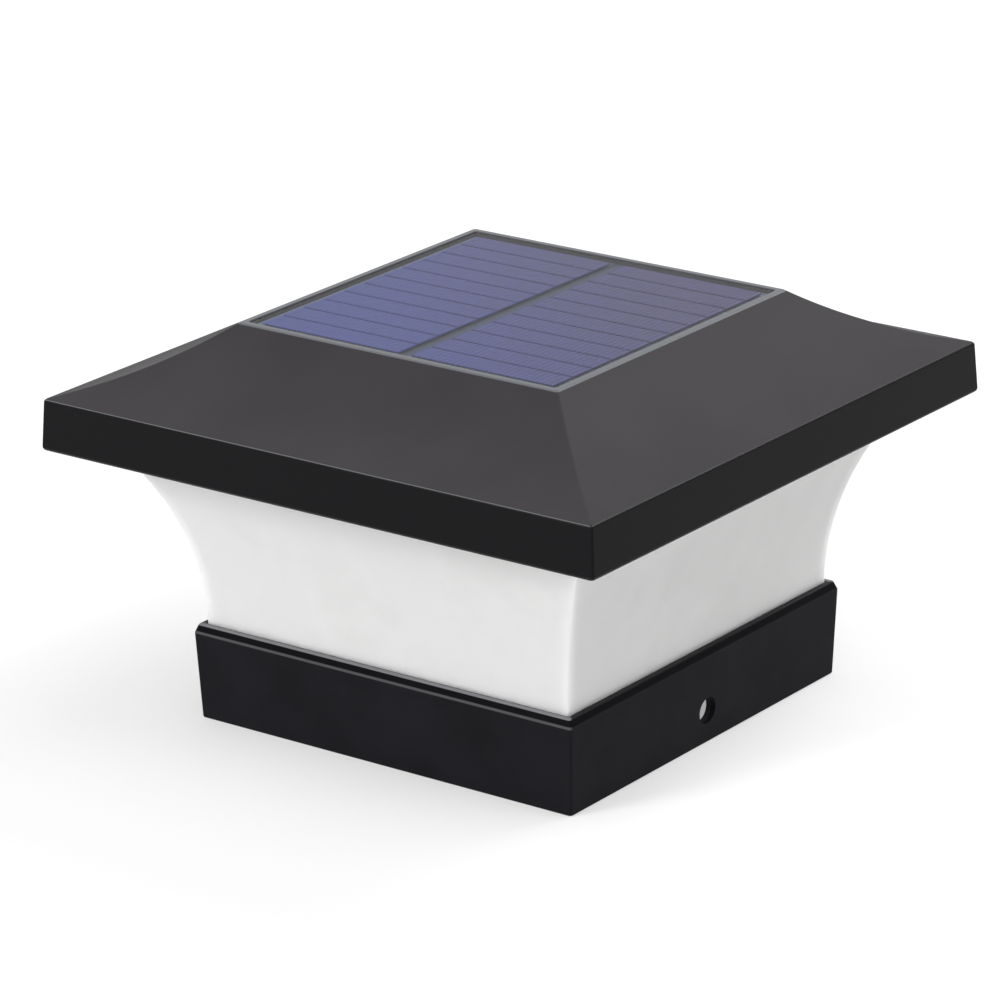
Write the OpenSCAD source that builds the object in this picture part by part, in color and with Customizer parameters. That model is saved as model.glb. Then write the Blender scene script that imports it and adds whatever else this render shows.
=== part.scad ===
// Solar cap light for a square deck post. Millimetres, +Z up, origin at the
// centre of the collar's lower rim. The collar's screw holes face -X and +X.

/* [Roof] */
// Width across the lower edge of the roof
roof_w = 160; // [154:1:176]
// Height of the upright edge band
fascia_h = 12.7; // [9:0.1:16]
// How far the edge band leans in on each side from bottom to top
fascia_draft = 0.7; // [0:0.1:2]
// Rise of the hollow-curved slope above the edge band
slope_rise = 16.1; // [12:0.1:22]
// Radius of the slope's hollow curve
slope_r = 92; // [70:1:160]
// Wall of the moulded roof
roof_wall = 2.2; // [1.6:0.1:3]
// Width of the flat rim beside the solar panel
rim_w = 1.5; // [1:0.1:3]
// Rounding of upright corners and hips
corner_r = 0.8; // [0.5:0.1:2.5]
// Rounding where the edge band meets the slope
eave_round = 0.8; // [0.3:0.1:1.2]
// Rounding of the rim's outer edge
rim_round = 0.4; // [0.2:0.05:0.6]
// Rounding of the edge band's lower edge
lip_round = 1.1; // [0.3:0.1:1.5]
// Thickness of the stiffening ribs
rib_t = 1.4; // [1:0.1:2]

/* [Solar panel] */
// Width of the square panel
panel_w = 88.8; // [80:0.2:92]
// Gap between panel and rim
panel_gap = 0.35; // [0.2:0.05:0.8]
// How far the panel lies below the rim
panel_sink = 0.2; // [0:0.05:1]
// Adhesive pad thickness
adhesive_t = 0.8; // [0.5:0.1:1.5]
// Backing board thickness
backing_t = 1.2; // [0.8:0.1:2]
// Solar cell thickness
cell_t = 0.3; // [0.2:0.05:0.5]
// Clear cover thickness above the cells
cover_t = 0.8; // [0.4:0.1:1.5]
// Cell strips in each column
strip_count = 11; // [6:1:14]
// Margin between the cells and the panel's edge
cell_margin = 2.1; // [1:0.1:4]
// Strip of bare backing between the two columns
column_gap = 3.8; // [1:0.1:6]
// Gap between neighbouring strips
strip_gap = 0.7; // [0.3:0.1:1.5]

/* [Diffuser] */
// Height of diffuser that shows between collar and roof
light_h = 46.1; // [40:0.5:52]
// Width across the diffuser's foot
foot_w = 106.8; // [104:0.2:107.6]
// Wall of the diffuser
diffuser_wall = 1.8; // [1.4:0.1:2.4]
// Height of diffuser hidden inside the roof
tuck_h = 5.8; // [4.5:0.1:6.2]
// Flange thickness
flange_t = 1.6; // [1.2:0.1:2]
// Width of the flange outside the diffuser's wall
flange_w = 6.4; // [6:0.1:8]
// Thickness of the foam seal above the flange
upper_seal_t = 1; // [0.6:0.1:1.5]
// Thickness of the foam seal under the foot
lower_seal_t = 0.8; // [0.6:0.1:1]
// Height of the screw bosses at the foot
foot_boss_h = 14; // [10:1:20]

/* [Collar] */
// Widest width of the collar, at its parting line
collar_w = 111.5; // [111:0.1:116]
// Height of the collar
collar_h = 24.1; // [22:0.1:30]
// Draft on each side from the parting line down to the lower rim
collar_draft = 0.9; // [0:0.1:1.5]
// Height of the sloping band above the parting line
band_h = 2.1; // [1:0.1:3]
// How far the sloping band's top lies in from the parting line
band_in = 0.8; // [0.5:0.1:1]
// Rounding of the collar's lower rim
foot_round = 0.5; // [0.2:0.1:0.8]
// Rounding of the parting line
parting_round = 1; // [0.4:0.1:2]
// Rounding of the ledge's outer edge
ledge_round = 0.4; // [0.2:0.05:0.6]
// Opening for the post
socket_w = 105; // [103.6:0.1:105.4]
// Diameter of the holes for the post screws
post_hole_d = 6.6; // [4.5:0.1:7]
// Height of the post screw holes above the lower rim
post_hole_z = 8.3; // [6:0.1:12]
// Thickness of the deck where the post stops against it
stop_t = 3.5; // [3.2:0.1:4.5]
// Width of the ledge that the post stops against
stop_w = 6.3; // [4:0.1:8]
// Thickness of the deck inside that ledge
deck_t = 2.2; // [2:0.1:3]
// Depth of the groove that takes the diffuser's foot
groove_h = 2; // [1.6:0.1:2.2]
// Sideways clearance of the foot in the groove
groove_fit = 0.2; // [0.1:0.05:0.3]

/* [Battery compartment] */
// Battery diameter
battery_d = 14.2; // [13.5:0.1:14.5]
// Battery length over its terminal
battery_l = 50.5; // [49:0.1:51]
// Clearance around the battery
battery_gap = 0.6; // [0.4:0.1:1]
// Space for the spring at the negative end
spring_l = 5.2; // [4:0.1:7]
// Wall of the compartment
bay_wall = 1.6; // [1.2:0.1:2.2]
// Thickness of the contact plates
contact_t = 0.4; // [0.3:0.05:0.6]
// Width of the solder tabs
tab_w = 3; // [2:0.1:4]
// Battery door thickness
door_t = 1.5; // [1.2:0.05:1.6]
// Clearance around the battery door
door_gap = 0.15; // [0.1:0.05:0.3]
// Radius of the door's hinge pins
door_pin_r = 0.6; // [0.5:0.05:0.65]
// Running clearance of a hinge pin in its socket
pin_fit = 0.06; // [0.03:0.01:0.09]

/* [Electronics] */
// Board length past the battery contacts at each end
board_end = 2.8; // [2:0.1:5]
// Board width
board_w = 26; // [24:0.5:30]
// Board thickness
board_t = 1.6; // [1.2:0.1:2]
// Height of the board's standoffs
standoff_h = 2.9; // [2.5:0.1:5]
// LED diameter
led_d = 5; // [3:0.5:5]
// LED height above the board
led_h = 8.6; // [6:0.1:9]
// LED distance from the centre along the board
led_x = 14; // [11:0.5:17]
// LED distance from the centre across the board
led_y = 8; // [6:0.5:9]
// Diameter of the insulated leads
lead_d = 1.4; // [1:0.1:1.8]
// Travel of the power switch
switch_travel = 2; // [1.5:0.1:2.5]
// Distance of the switch from the centre
switch_y = 28; // [25:0.5:32]

/* [Screws] */
// Shank radius of the diffuser and deck screws
screw_r = 1.3; // [1:0.05:1.5]
// Head radius of the diffuser and deck screws
screw_head_r = 2.7; // [2.2:0.1:2.9]
// Head height of the diffuser and deck screws
screw_head_h = 1.8; // [1.2:0.1:2]
// Clearance radius around a shank
screw_fit = 0.05; // [0.02:0.01:0.1]

/* [Hidden] */
$fn = 48;
fine = 360;                 // segments of a large arc
eps = 0.01;
curve_steps = 14;           // steps of a curve along a corner
arc_steps = 4;              // steps of a small rounding
corner_turns = [22.5, 45, 67.5];

// Heights from the collar's lower rim upward
stop_z = collar_h - stop_t;
deck_z = collar_h - deck_t;
parting_z = collar_h - band_h;
groove_z = collar_h - groove_h;
foot_z = groove_z + lower_seal_t;
eave_z = collar_h + light_h;
slope_z = eave_z + fascia_h;
top_z = slope_z + slope_rise;
flange_z = eave_z + tuck_h - flange_t;
diffuser_top = flange_z + flange_t;
seal_top = diffuser_top + upper_seal_t;

// Roof: half-widths and the centre of the slope's curve
eave_half = roof_w / 2;
slope_half = eave_half - fascia_draft;
panel_half = panel_w / 2;
recess_half = panel_half + panel_gap;
rim_half = recess_half + rim_w;
slope_run = slope_half - rim_half;
slope_chord = norm([slope_run, slope_rise]);
slope_reach = sqrt(slope_r * slope_r - slope_chord * slope_chord / 4);
slope_cx = (slope_half + rim_half) / 2 + slope_reach * slope_rise / slope_chord;
slope_cz = (slope_z + top_z) / 2 + slope_reach * slope_run / slope_chord;
panel_stack = adhesive_t + backing_t + cell_t + cover_t;
recess_z = top_z - panel_sink - panel_stack;
ceiling_z = recess_z - roof_wall;
backing_z = recess_z + adhesive_t;
cell_z = backing_z + backing_t;
roof_in = eave_half - fascia_draft - roof_wall;
rib_reach = 0.78 * rim_half;
rib_gap = 1.6;

// Diffuser: its flare runs from the collar to the flange that the roof sits on
foot_half = foot_w / 2;
flange_gap = 0.5;
flange_half = roof_in - flange_gap;
flare_rise = diffuser_top - collar_h;
flare_run = flange_half - flange_w - foot_half + diffuser_wall;
flare_r = (flare_run * flare_run + flare_rise * flare_rise) / (2 * flare_run) - diffuser_wall;
flare_cx = foot_half + flare_r;
seal_gap = 0.35;
seal_in = flange_half - flange_w + seal_gap;
seal_w = 1.8;
seal_out = seal_in + seal_w;
head_gap = 0.4;
roof_screw_at = flange_half - screw_head_r;
roof_boss_r = screw_r + 1.3;
roof_screw_l = 3.6;
small_head_h = 1.4;
foot_boss_r = 3.5;
foot_boss_at = foot_half - diffuser_wall - foot_boss_r - 4.1;
foot_screw_l = 9;

// Reflector under the roof
reflector_t = 1.4;
reflector_z = seal_top + 1;
reflector_half = seal_in - 0.6;
reflector_top = reflector_z + reflector_t;
reflector_boss_at = 30;
reflector_boss_r = 3;
reflector_screw_l = 6;
cone_h = 14;
cone_r = 20;
cone_tip_r = 1.5;
cone_steps = 10;

// Battery compartment
bay_l = battery_l + spring_l + 2 * contact_t + 1.3;
bay_half_x = bay_l / 2;
bay_half_y = battery_d / 2 + battery_gap;
door_z = deck_z;
door_top = door_z + door_t;
ledge_z = door_top + 0.1;
battery_z = door_top + 1.2 + battery_d / 2;
bay_top = battery_z + battery_d / 2 + battery_gap;
bay_roof = bay_top + bay_wall;
door_lap = 2.1;
door_half_x = bay_half_x + door_lap;
door_half_y = bay_half_y + door_lap + 0.2;
plinth_wall = 3;
plinth_z = collar_h + 1.4;
door_pin_l = 1.3;
hinge_r = door_t / 2;
hinge_y = -(door_half_y - door_gap - hinge_r);
hinge_z = door_z + hinge_r;
contact_x = bay_half_x - 0.2 - contact_t;
contact_half = 5.5;
groove_rib = 0.7;
nub_l = 1.2;
nub_r = 2.7;
dimple_l = 0.7;
battery_end = contact_x - dimple_l - 0.1;
battery_back = battery_end - battery_l;
cradle_x = 16;

// Board
board_z = bay_roof + standoff_h;
board_top = board_z + board_t;
board_l = 2 * (contact_x + contact_t + board_end);
board_screw_x = 23.5;
board_screw_r = 1;
board_screw_l = 3;
board_head_r = 1.9;
board_head_h = 1.2;
standoff_r = 2.6;
led_pitch = 2.54;
lead_pad_x = 24.5;
lead_pad_y = 6.5;
switch_pad_x = 3;
switch_pad_y = -(board_w / 2 - 1.6);
cap_at = [0, 1];

// Power switch
switch_flange = [20, 6.6, 0.5];
switch_case = [12.4, 6.6, 5.2];
switch_hole_x = 7.5;
switch_screw_r = 0.8;
switch_boss_r = 2.5;
knob_w = 3;
slider = [5.4, 4.2, 0.8];
slot_gap = 0.25;
well = [16, 9];
well_t = 1.2;
switch_top = collar_h + switch_flange[2] + switch_case[2];
pin_h = 2.4;

// Panel leads, from the sealant under the panel to the board
terminal_x = 22;
terminal_r = 3.5;
sealant_drop = 0.9;
lead_half = 2;
drop_x = 52;

function flare(z, r = flare_r) = flare_cx - sqrt(r * r - pow(z - collar_h, 2));
function slope(z, r = slope_r) = slope_cx - sqrt(r * r - pow(z - slope_cz, 2));
function steps(a, b, n) = [for (i = [0 : n]) a + (b - a) * i / n];

// Mirrors a right-hand outline [x, z] to the left
function both_sides(p) = concat(p, [for (i = [len(p) - 1 : -1 : 0]) [-p[i][0], p[i][1]]]);
// The same outline seen from a turn about Z, as a square with rounded corners shows it
function seen_at(turn, p) = [for (q = p)
    [(q[0] - corner_r) * (cos(turn) + sin(turn)) + corner_r, q[1]]];

function unit(v) = v / norm(v);
function heading(v) = atan2(v[1], v[0]);
// Arc about m from a to b, the short way
function arc(m, a, b) = let (r = norm(a - m), from = heading(a - m),
    turn = (heading(b - m) - from + 540) % 360 - 180)
    [for (t = steps(from, from + turn, arc_steps)) m + r * [cos(t), sin(t)]];
// Rounds corner b between the straight edges from a and to c
function rounded(a, b, c, r) = let (u = unit(a - b), v = unit(c - b), half = acos(u * v) / 2,
    m = b + unit(u + v) * r / sin(half))
    arc(m, b + u * r / tan(half), b + v * r / tan(half));

// Runs an outline in X and Z across the part
module across(turn, w) {
    rotate([90, 0, turn])
        linear_extrude(height = w, center = true)
            children();
}

// Square body with mitred corners from one outline
module crossed(w) {
    intersection() {
        across(0, w) children();
        across(90, w) children();
    }
}

// Rounds the four corners of a crossed body, in flats
module softened(outline, w) {
    intersection() {
        children();
        intersection_for (side = [0, 90], turn = corner_turns)
            across(side + turn, w) polygon(both_sides(seen_at(turn, outline)));
    }
}

module round_square(half, r) {
    side = 2 * (half - r);
    square([2 * half, side], center = true);
    square([side, 2 * half], center = true);
    for (x = [-1, 1], y = [-1, 1])
        translate([x * (half - r), y * (half - r)]) circle(r);
}

module round_slab(half, r, z, h) {
    translate([0, 0, z])
        linear_extrude(height = h)
            round_square(half, r);
}

module ring(outer, inner, r_out, r_in, z, h) {
    translate([0, 0, z])
        linear_extrude(height = h)
            difference() {
                round_square(outer, r_out);
                round_square(inner, r_in);
            }
}

module block(x, y, z, h) {
    translate([-x, -y, z]) cube([2 * x, 2 * y, h]);
}

module at_corners(d) {
    for (x = [-1, 1], y = [-1, 1])
        translate([x * d, y * d, 0]) children();
}

module at_both(x) {
    for (s = [-1, 1])
        translate([s * x, 0, 0]) children();
}

// Pan-head screw, head down, with its head's seat at z = 0 and its tip above
module screw(r, l, head_r, head_h) {
    slot_w = head_r * 0.32;
    slot_l = head_r * 1.1;
    difference() {
        union() {
            translate([0, 0, -head_h * 0.6]) cylinder(r = head_r, h = head_h * 0.6);
            translate([0, 0, -head_h]) cylinder(r1 = head_r * 0.75, r2 = head_r, h = head_h * 0.4);
        }
        for (turn = [0, 90])
            rotate([0, 0, turn])
                translate([-slot_l / 2, -slot_w / 2, -head_h - eps])
                    cube([slot_l, slot_w, head_h * 0.6]);
    }
    cylinder(r = r, h = l - r);
    translate([0, 0, l - r]) cylinder(r1 = r, r2 = r * 0.3, h = r);
}

// Round lead along a list of points
module lead(path, r) {
    sides = 8;
    last = len(path) - 1;
    function along(i) = path[min(i + 1, last)] - path[max(i - 1, 0)];
    ring_points = [for (i = [0 : last])
        let (t = unit(along(i)), u = unit(cross(t, [0.05, 1, 0.02])), v = cross(t, u))
        for (k = [0 : sides - 1])
            path[i] + r * (u * cos(360 * k / sides) + v * sin(360 * k / sides))];
    walls = [for (i = [0 : last - 1], k = [0 : sides - 1])
        let (a = i * sides + k, b = i * sides + (k + 1) % sides)
        each [[a, b, b + sides], [a, b + sides, a + sides]]];
    start = [for (k = [1 : sides - 2]) [0, k + 1, k]];
    finish = [for (k = [1 : sides - 2]) [last * sides, last * sides + k, last * sides + k + 1]];
    polyhedron(points = ring_points, faces = concat(walls, start, finish));
}

// Smooth curve through hand-picked points
function bend(a, b, c, d, t) = 0.5 * (2 * b + (c - a) * t + (2 * a - 5 * b + 4 * c - d) * t * t
    + (3 * b - a - 3 * c + d) * t * t * t);
function smooth(p, n) = let (m = len(p) - 1) concat(
    [for (i = [0 : m - 1], k = [0 : n - 1])
        bend(p[max(i - 1, 0)], p[i], p[i + 1], p[min(i + 2, m)], k / n)], [p[m]]);
// The same, with a straight stub of length s at each end
function with_stubs(p, n, s) = concat([p[0] + [0, 0, s[0]]], smooth(p, n), [p[len(p) - 1] - [0, 0, s[1]]]);

// ---------- Collar ----------

collar_foot = [collar_w / 2 - collar_draft, 0];
collar_parting = [collar_w / 2, parting_z];
collar_top = [collar_w / 2 - band_in, collar_h];
collar_outline = concat(rounded([0, 0], collar_foot, collar_parting, foot_round),
    rounded(collar_foot, collar_parting, collar_top, parting_round),
    rounded(collar_parting, collar_top, [0, collar_h], ledge_round));

module collar_shell() {
    softened(collar_outline, 2 * collar_w)
        crossed(collar_w + 2) polygon(both_sides(collar_outline));
}

module bay_outside() {
    block(bay_half_x + bay_wall, bay_half_y + bay_wall, deck_z, bay_roof - deck_z);
    block(door_half_x + plinth_wall, door_half_y + bay_wall, deck_z, plinth_z - deck_z);
    at_both(board_screw_x) translate([0, 0, bay_roof - eps]) cylinder(r = standoff_r, h = standoff_h + eps);
}

module bay_inside() {
    block(bay_half_x, bay_half_y, deck_z - 1, bay_top - deck_z + 1);
    block(door_half_x, door_half_y, deck_z - 1, ledge_z - deck_z + 1);
    for (s = [-1, 1]) {
        translate([s * (contact_x + contact_t / 2), 0, 0])
            block(contact_t / 2 + 0.2, tab_w / 2 + 0.2, bay_top - 1, bay_wall + 2);
        translate([s * (door_half_x - 1), hinge_y, hinge_z])
            rotate([0, s * 90, 0]) cylinder(r = door_pin_r + pin_fit, h = 1 + door_pin_l + 0.4);
    }
    at_both(board_screw_x)
        translate([0, 0, board_z - 3.6]) cylinder(r = board_screw_r + screw_fit, h = 4);
}

// Ribs that hold the contact plates against the compartment's ends
module contact_ribs() {
    for (x = [-1, 1], y = [-1, 1])
        translate([x * (contact_x - 0.2 - groove_rib / 2), y * (bay_half_y - 0.9), 0])
            block(groove_rib / 2, 0.9 + eps, ledge_z, bay_top - ledge_z);
}

module switch_openings() {
    translate([0, -switch_y, 0]) {
        block(well[0] / 2, well[1] / 2, deck_z - 1, collar_h - well_t - deck_z + 1);
        block(knob_w / 2 + switch_travel / 2 + slot_gap + 0.4, knob_w / 2 + slot_gap + 0.4,
            deck_z - 1, deck_t + 2);
    }
}

module base_collar() color("#242529") {
    difference() {
        union() {
            difference() {
                collar_shell();
                round_slab(socket_w / 2, 2, -1, stop_z + 1);
                round_slab(socket_w / 2 - stop_w, 3, stop_z - 1, deck_z - stop_z + 1);
            }
            bay_outside();
            at_corners(foot_boss_at) translate([0, 0, stop_z]) cylinder(r = screw_head_r + 1.6, h = stop_t);
            translate([0, -switch_y, stop_z + 0.3])
                at_both(switch_hole_x) cylinder(r = switch_boss_r, h = stop_t - 0.3);
        }
        bay_inside();
        switch_openings();
        ring(foot_half + groove_fit, foot_half - diffuser_wall - groove_fit, corner_r, corner_r / 2,
            groove_z, groove_h + 1);
        at_corners(foot_boss_at) {
            translate([0, 0, stop_z - 1]) cylinder(r = screw_r + 0.4, h = stop_t + 2);
            translate([0, 0, stop_z - 1]) cylinder(r = screw_head_r + 0.3, h = screw_head_h + 1.1);
        }
        translate([0, -switch_y, collar_h - 2.8])
            at_both(switch_hole_x) cylinder(r = switch_screw_r + screw_fit, h = 4);
        translate([0, 0, post_hole_z]) rotate([0, 90, 0])
            cylinder(d = post_hole_d, h = collar_w + 2, center = true);
        translate([0, door_half_y + 2, deck_z - 1]) cylinder(r = 5, h = 1.9);
    }
    contact_ribs();
}

module lower_seal() color("#3a3a3c")
    ring(foot_half, foot_half - diffuser_wall, corner_r, corner_r / 2, groove_z, lower_seal_t);

// ---------- Diffuser ----------

straight_h = 3;             // the corner stays straight this far above the collar
flare_outline = concat([[foot_half, foot_z - 1]],
    [for (z = steps(collar_h + straight_h, diffuser_top + 1, curve_steps - 2)) [flare(z), z]]);

module flare_profile(r, low, high) {
    difference() {
        translate([-roof_w / 2, low]) square([roof_w, high - low]);
        for (s = [-1, 1]) {
            translate([s * flare_cx, collar_h]) circle(r, $fn = fine);
            translate([s * (flare_cx + flare_r - r) - (s < 0 ? roof_w : 0), low - 1])
                translate([s * (-flare_r), 0]) square([roof_w, collar_h - low + 1]);
        }
    }
}

module foot_boss() {
    reach = foot_half - 0.4 - foot_boss_at;
    translate([0, 0, collar_h]) {
        cylinder(r = foot_boss_r, h = foot_boss_h);
        translate([0, -rib_t / 2, 0]) cube([reach, rib_t, foot_boss_h - 3]);
        translate([-rib_t / 2, 0, 0]) cube([rib_t, reach, foot_boss_h - 3]);
    }
}

module diffuser() color("#f4f3f1") {
    difference() {
        union() {
            difference() {
                union() {
                    softened(flare_outline, 2 * roof_w)
                        crossed(roof_w + 2) flare_profile(flare_r, foot_z, diffuser_top);
                    round_slab(flange_half, 2, flange_z, flange_t);
                }
                crossed(roof_w + 2) flare_profile(flare_r + diffuser_wall, foot_z - 1, diffuser_top + 1);
            }
            for (turn = [0 : 90 : 270])
                rotate([0, 0, turn]) translate([foot_boss_at, foot_boss_at, 0]) foot_boss();
        }
        at_corners(foot_boss_at)
            translate([0, 0, collar_h - 1]) cylinder(r = screw_r + screw_fit, h = foot_boss_h - 1);
        at_corners(roof_screw_at)
            translate([0, 0, flange_z - 1]) cylinder(r = screw_r + 0.3, h = flange_t + 2);
    }
}

module upper_seal() color("#3a3a3c")
    ring(seal_out, seal_in, 3, 1.2, diffuser_top, upper_seal_t);

// ---------- Roof ----------

slope_c = [slope_cx, slope_cz];
band_down = unit([fascia_draft, -fascia_h]);
band_inward = unit([-fascia_h, -fascia_draft]);
// Rounds the slope's end p, where a straight edge leaves it along d with the wall on side n
function round_centre(p, d, n, r) = let (q = p + r * n - slope_c, b = d * q)
    p + r * n + d * (sqrt(b * b - q * q + pow(slope_r + r, 2)) - b);
function on_slope(m) = slope_c + unit(m - slope_c) * slope_r;
eave_m = round_centre([slope_half, slope_z], band_down, band_inward, eave_round);
rim_m = round_centre([rim_half, top_z], [-1, 0], [0, -1], rim_round);
eave_arc = arc(eave_m, eave_m - eave_round * band_inward, on_slope(eave_m));
rim_arc = arc(rim_m, on_slope(rim_m), rim_m + [0, rim_round]);
eave_foot = rounded([0, eave_z], [eave_half, eave_z], [slope_half, slope_z], lip_round);
slope_steps = steps(on_slope(eave_m)[1], on_slope(rim_m)[1], curve_steps);
roof_outline = concat(eave_foot, eave_arc,
    [for (i = [1 : curve_steps - 1]) [slope(slope_steps[i]), slope_steps[i]]], rim_arc);

module roof_outside() {
    softened(roof_outline, 2 * roof_w)
        crossed(roof_w + 2)
            difference() {
                polygon(both_sides(concat(eave_foot, eave_arc, rim_arc)));
                for (s = [-1, 1])
                    translate([s * slope_cx, slope_cz]) circle(slope_r, $fn = fine);
            }
}

// Space under the roof's skin
module roof_inside(wall, low) {
    crossed(roof_w + 2)
        difference() {
            polygon(both_sides([[eave_half - wall, low], [eave_half - wall, eave_z],
                [slope_half - wall, slope_z + wall], [slope_half - wall, ceiling_z + roof_wall - wall]]));
            for (s = [-1, 1])
                translate([s * slope_cx, slope_cz]) circle(slope_r + wall, $fn = fine);
        }
}

module roof_ribs() {
    ring(seal_out, seal_in, 3, 1.2, seal_top, top_z - seal_top);
    at_corners(roof_screw_at)
        translate([0, 0, diffuser_top]) cylinder(r = roof_boss_r, h = slope_rise + fascia_h);
    at_corners(reflector_boss_at)
        translate([0, 0, reflector_top]) cylinder(r = reflector_boss_r, h = recess_z - reflector_top - 0.5);
    for (turn = [0 : 90 : 270], y = steps(-rib_reach, rib_reach, 3))
        rotate([0, 0, turn])
            translate([rim_half, y - rib_t / 2, reflector_top + rib_gap])
                cube([seal_out - rim_half, rib_t, slope_rise]);
}

module roof_cover() color("#35363a") {
    difference() {
        union() {
            difference() {
                roof_outside();
                roof_inside(roof_wall, eave_z - 1);
            }
            intersection() {
                roof_inside(roof_wall / 2, eave_z - 1);
                roof_ribs();
            }
        }
        round_slab(recess_half, 0.8, recess_z, top_z - recess_z + 1);
        translate([terminal_x, 0, ceiling_z - 1]) cylinder(r = terminal_r, h = roof_wall + 2);
        at_corners(roof_screw_at)
            translate([0, 0, diffuser_top - 1]) cylinder(r = screw_r + screw_fit, h = roof_screw_l + 1.3);
        at_corners(reflector_boss_at)
            translate([0, 0, reflector_top - 1]) cylinder(r = screw_r + screw_fit, h = 8);
    }
}

module panel_adhesive() color("#d8d8d2")
    ring(panel_half - 0.6, panel_half - 9, 1, 1, recess_z, adhesive_t);

module panel_backing() color("#c9cbc8")
    round_slab(panel_half, 0.6, backing_z, backing_t);

cell_half = panel_half - cell_margin;
strip_pitch = (2 * cell_half + strip_gap) / strip_count;
strip_w = strip_pitch - strip_gap;
strip_l = cell_half - column_gap / 2;

module solar_cells() color("#33357a")
    for (s = [-1, 1], i = [0 : strip_count - 1])
        translate([s > 0 ? column_gap / 2 : -cell_half, -cell_half + i * strip_pitch, cell_z])
            cube([strip_l, strip_w, cell_t]);

module panel_cover() color("#6f719b", 0.5)
    difference() {
        round_slab(panel_half, 0.6, cell_z, cell_t + cover_t);
        for (s = [-1, 1], i = [0 : strip_count - 1])
            translate([s > 0 ? column_gap / 2 : -cell_half, -cell_half + i * strip_pitch, cell_z - 1])
                cube([strip_l, strip_w, cell_t + 1]);
    }

module terminal_sealant() color("#e8e4d8")
    translate([terminal_x, 0, 0]) {
        translate([0, 0, ceiling_z - sealant_drop])
            cylinder(r = terminal_r - 0.02, h = backing_z - ceiling_z + sealant_drop);
    }

// White plate with a hollow centre cone that throws the light sideways
cone_z = reflector_z - cone_h;
function cone_at(t, r) = cone_tip_r + (r - cone_tip_r) * t * t;

module reflector() color("#f7f7f5")
    difference() {
        union() {
            round_slab(reflector_half, 2.5, reflector_z, reflector_t);
            rotate_extrude()
                polygon(concat([[0, cone_z]],
                    [for (t = steps(0, 1, cone_steps)) [cone_at(t, cone_r), cone_z + t * cone_h]],
                    [[0, reflector_z + eps]]));
        }
        rotate_extrude()
            polygon(concat([[0, cone_z + 1.5]],
                [for (t = steps(0.3, 1, cone_steps))
                    [cone_at(t, cone_r) - 1.2, cone_z + 0.4 + t * (cone_h + 1.2)]],
                [[cone_r - 1.2, reflector_top + 1], [0, reflector_top + 1]]));
        at_corners(reflector_boss_at)
            translate([0, 0, reflector_z - 1]) cylinder(r = screw_r + 0.3, h = reflector_t + 2);
        translate([drop_x, 0, reflector_z - 1]) cylinder(r = 4.5, h = reflector_t + 2);
    }

// ---------- Battery and contacts ----------

module battery() color("#4f9a57")
    translate([battery_back, 0, battery_z]) rotate([0, 90, 0]) {
        difference() {
            cylinder(d = battery_d, h = battery_l - nub_l);
            translate([0, 0, battery_l - nub_l - 0.5])
                difference() {
                    cylinder(r = battery_d / 2 - 0.8, h = 1);
                    translate([0, 0, -1]) cylinder(r = nub_r, h = 3);
                }
        }
        translate([0, 0, battery_l - nub_l - 0.5]) cylinder(r = nub_r, h = nub_l + 0.5);
    }

module contact_plate(side) {
    x = side > 0 ? contact_x : -contact_x - contact_t;
    translate([x, -contact_half, ledge_z + 1]) cube([contact_t, 2 * contact_half, bay_top - ledge_z - 1.3]);
    translate([x, -tab_w / 2, bay_top - 1]) cube([contact_t, tab_w, board_top + 0.8 - bay_top + 1]);
}

module positive_contact() color("#c8c9cc") {
    contact_plate(1);
    translate([contact_x - dimple_l, 0, battery_z]) rotate([0, 90, 0])
        cylinder(r1 = 1.6, r2 = 2.6, h = dimple_l + eps);
}

module negative_contact() color("#c8c9cc")
    contact_plate(-1);

// Conical coil spring between the negative plate and the battery
spring_wire = 0.4;
spring_turns = 4;
spring_start = -contact_x + spring_wire + 0.02;
spring_end = battery_back - spring_wire - 0.05;
spring_path = [for (i = [0 : 14 * spring_turns])
    let (t = i / (14 * spring_turns), r = 4.6 - 2 * t, turn = 360 * spring_turns * t,
        lift = min(max((t - 0.12) / 0.76, 0), 1))
    [spring_start + (spring_end - spring_start) * lift, r * cos(turn), battery_z + r * sin(turn)]];

module battery_spring() color("#c8c9cc")
    lead(spring_path, spring_wire);

module battery_door() color("#2b2c30") {
    difference() {
        union() {
            translate([-door_half_x + door_gap, hinge_y, door_z])
                cube([2 * (door_half_x - door_gap), door_half_y - door_gap - hinge_y, door_t]);
            translate([-door_half_x + door_gap, hinge_y, hinge_z]) rotate([0, 90, 0])
                cylinder(r = hinge_r, h = 2 * (door_half_x - door_gap));
        }
        for (i = [0 : 3])
            translate([-7, door_half_y - 2.4 - 1.6 * i, door_z - eps]) cube([14, 0.8, 0.4]);
    }
    translate([-door_half_x - door_pin_l + door_gap, hinge_y, hinge_z]) rotate([0, 90, 0])
        cylinder(r = door_pin_r, h = 2 * (door_half_x + door_pin_l - door_gap));
    at_both(cradle_x)
        block(0.8, bay_half_y - 1.2, door_top - eps, 0.9);
}

// ---------- Electronics ----------

module control_board() color("#2f6b3f")
    difference() {
        block(board_l / 2, board_w / 2, board_z, board_t);
        for (s = [-1, 1]) {
            translate([s * (contact_x + contact_t / 2), 0, 0])
                block(contact_t / 2 + 0.2, tab_w / 2 + 0.2, board_z - 1, board_t + 2);
            translate([s * board_screw_x, 0, board_z - 1]) cylinder(r = board_screw_r + 0.2, h = board_t + 2);
        }
        for (x = [-1, 1], y = [-1, 1], p = [-1, 1])
            translate([x * led_x + p * led_pitch / 2, y * led_y, board_z - 1])
                cylinder(r = 0.5, h = board_t + 2);
    }

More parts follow.
